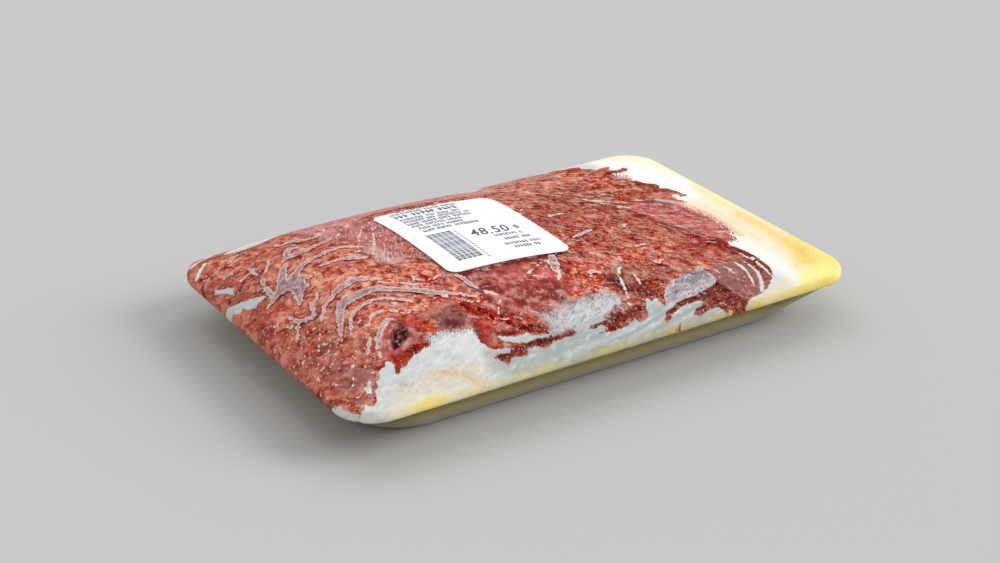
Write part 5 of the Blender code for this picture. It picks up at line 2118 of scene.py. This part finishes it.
def add_sky():
    world = bpy.data.worlds.new("studio")
    world.use_nodes = True
    bpy.context.scene.world = world
    background = world.node_tree.nodes["Background"]
    background.inputs["Color"].default_value = (1.0, 1.0, 1.0, 1.0)
    background.inputs["Strength"].default_value = SKY_LEVEL


def add_camera():
    data = bpy.data.cameras.new("camera")
    data.lens = CAMERA_LENS
    data.sensor_width = SENSOR_WIDTH
    data.clip_start = CLIP_START
    data.clip_end = CLIP_END
    camera = bpy.data.objects.new("camera", data)
    level, rise = math.cos(CAMERA_ELEVATION), math.sin(CAMERA_ELEVATION)
    back = Vector((math.sin(CAMERA_AZIMUTH) * level, -math.cos(CAMERA_AZIMUTH) * level, rise))
    camera.location = CAMERA_AIM + back * CAMERA_DISTANCE
    camera.rotation_euler = (-back).to_track_quat("-Z", "Y").to_euler()
    bpy.context.scene.collection.objects.link(camera)
    bpy.context.scene.camera = camera


def build_stage(colours):
    """Floor, soft light and the camera."""
    build_floor(colours)
    add_sky()
    for lamp in LAMPS:
        add_lamp(*lamp)
    add_camera()
    bpy.context.scene.view_settings.view_transform = "Standard"
    bpy.context.scene.view_settings.look = "None"


# ---------------- operators
def settings(context):
    return context.scene.mince_tray_sizes, context.scene.mince_tray_colours


def shared_mince(colours):
    """The mince shader group and material, made once."""
    group = bpy.data.node_groups.get("mince mottle") or mince_group(colours)
    material = bpy.data.materials.get("pressed mince") or mince_material(group)
    return group, material


class MINCETRAY_OT_tray(bpy.types.Operator):
    """Build the foam tray"""

    bl_idname = "mince_tray.tray"
    bl_label = "Foam Tray"
    bl_options = {"REGISTER", "UNDO"}

    def execute(self, context):
        build_tray(settings(context)[1])
        return {"FINISHED"}


class MINCETRAY_OT_mince(bpy.types.Operator):
    """Build the mince: its core, and the lean and fat bits pressed on it"""

    bl_idname = "mince_tray.mince"
    bl_label = "Minced Meat"
    bl_options = {"REGISTER", "UNDO"}

    def execute(self, context):
        sizes, colours = settings(context)
        _, material = shared_mince(colours)
        build_core(sizes, material)
        build_bits("mince_bits", sizes.bits, LEAN_SEED, 0.0, sizes, material)
        build_bits("fat_bits", sizes.fat_bits, FAT_SEED, 1.0, sizes, material)
        return {"FINISHED"}


class MINCETRAY_OT_film(bpy.types.Operator):
    """Stretch the film over the meat and fold it under the tray"""

    bl_idname = "mince_tray.film"
    bl_label = "Stretch Film"
    bl_options = {"REGISTER", "UNDO"}

    def execute(self, context):
        sizes, colours = settings(context)
        group, _ = shared_mince(colours)
        build_film(sizes, colours, group)
        build_wrap(sizes)
        return {"FINISHED"}


class MINCETRAY_OT_label(bpy.types.Operator):
    """Lay the paper label on the film and print it"""

    bl_idname = "mince_tray.label"
    bl_label = "Paper Label"
    bl_options = {"REGISTER", "UNDO"}

    def execute(self, context):
        sizes, colours = settings(context)
        build_label(sizes, colours)
        ink = ink_material(colours)
        build_print(sizes, ink)
        build_digits(sizes, ink)
        return {"FINISHED"}


class MINCETRAY_OT_stage(bpy.types.Operator):
    """Set the floor, the light and the camera"""

    bl_idname = "mince_tray.stage"
    bl_label = "Stage"
    bl_options = {"REGISTER", "UNDO"}

    def execute(self, context):
        build_stage(settings(context)[1])
        return {"FINISHED"}


class MINCETRAY_PT_panel(bpy.types.Panel):
    """Lists the pieces of the wrapped tray"""

    bl_idname = "MINCETRAY_PT_panel"
    bl_label = "Mince Tray"
    bl_space_type = "VIEW_3D"
    bl_region_type = "UI"
    bl_category = "Mince Tray"

    def draw(self, context):
        layout = self.layout
        for operator in OPERATORS:
            layout.operator(operator.bl_idname)
        for group in settings(context):
            box = layout.box()
            for name in group.__annotations__:
                box.prop(group, name)


OPERATORS = (
    MINCETRAY_OT_stage, MINCETRAY_OT_tray, MINCETRAY_OT_mince, MINCETRAY_OT_film, MINCETRAY_OT_label,
)
CLASSES = (MinceTraySizes, MinceTrayColours, *OPERATORS, MINCETRAY_PT_panel)


def register():
    for made in CLASSES:
        bpy.utils.register_class(made)
    bpy.types.Scene.mince_tray_sizes = PointerProperty(type=MinceTraySizes)
    bpy.types.Scene.mince_tray_colours = PointerProperty(type=MinceTrayColours)


def unregister():
    del bpy.types.Scene.mince_tray_colours
    del bpy.types.Scene.mince_tray_sizes
    for made in reversed(CLASSES):
        bpy.utils.unregister_class(made)


def main():
    register()
    bpy.ops.mince_tray.stage()
    bpy.ops.mince_tray.tray()
    bpy.ops.mince_tray.mince()
    bpy.ops.mince_tray.film()
    bpy.ops.mince_tray.label()
    deselect_all()


if __name__ == "__main__":
    main()
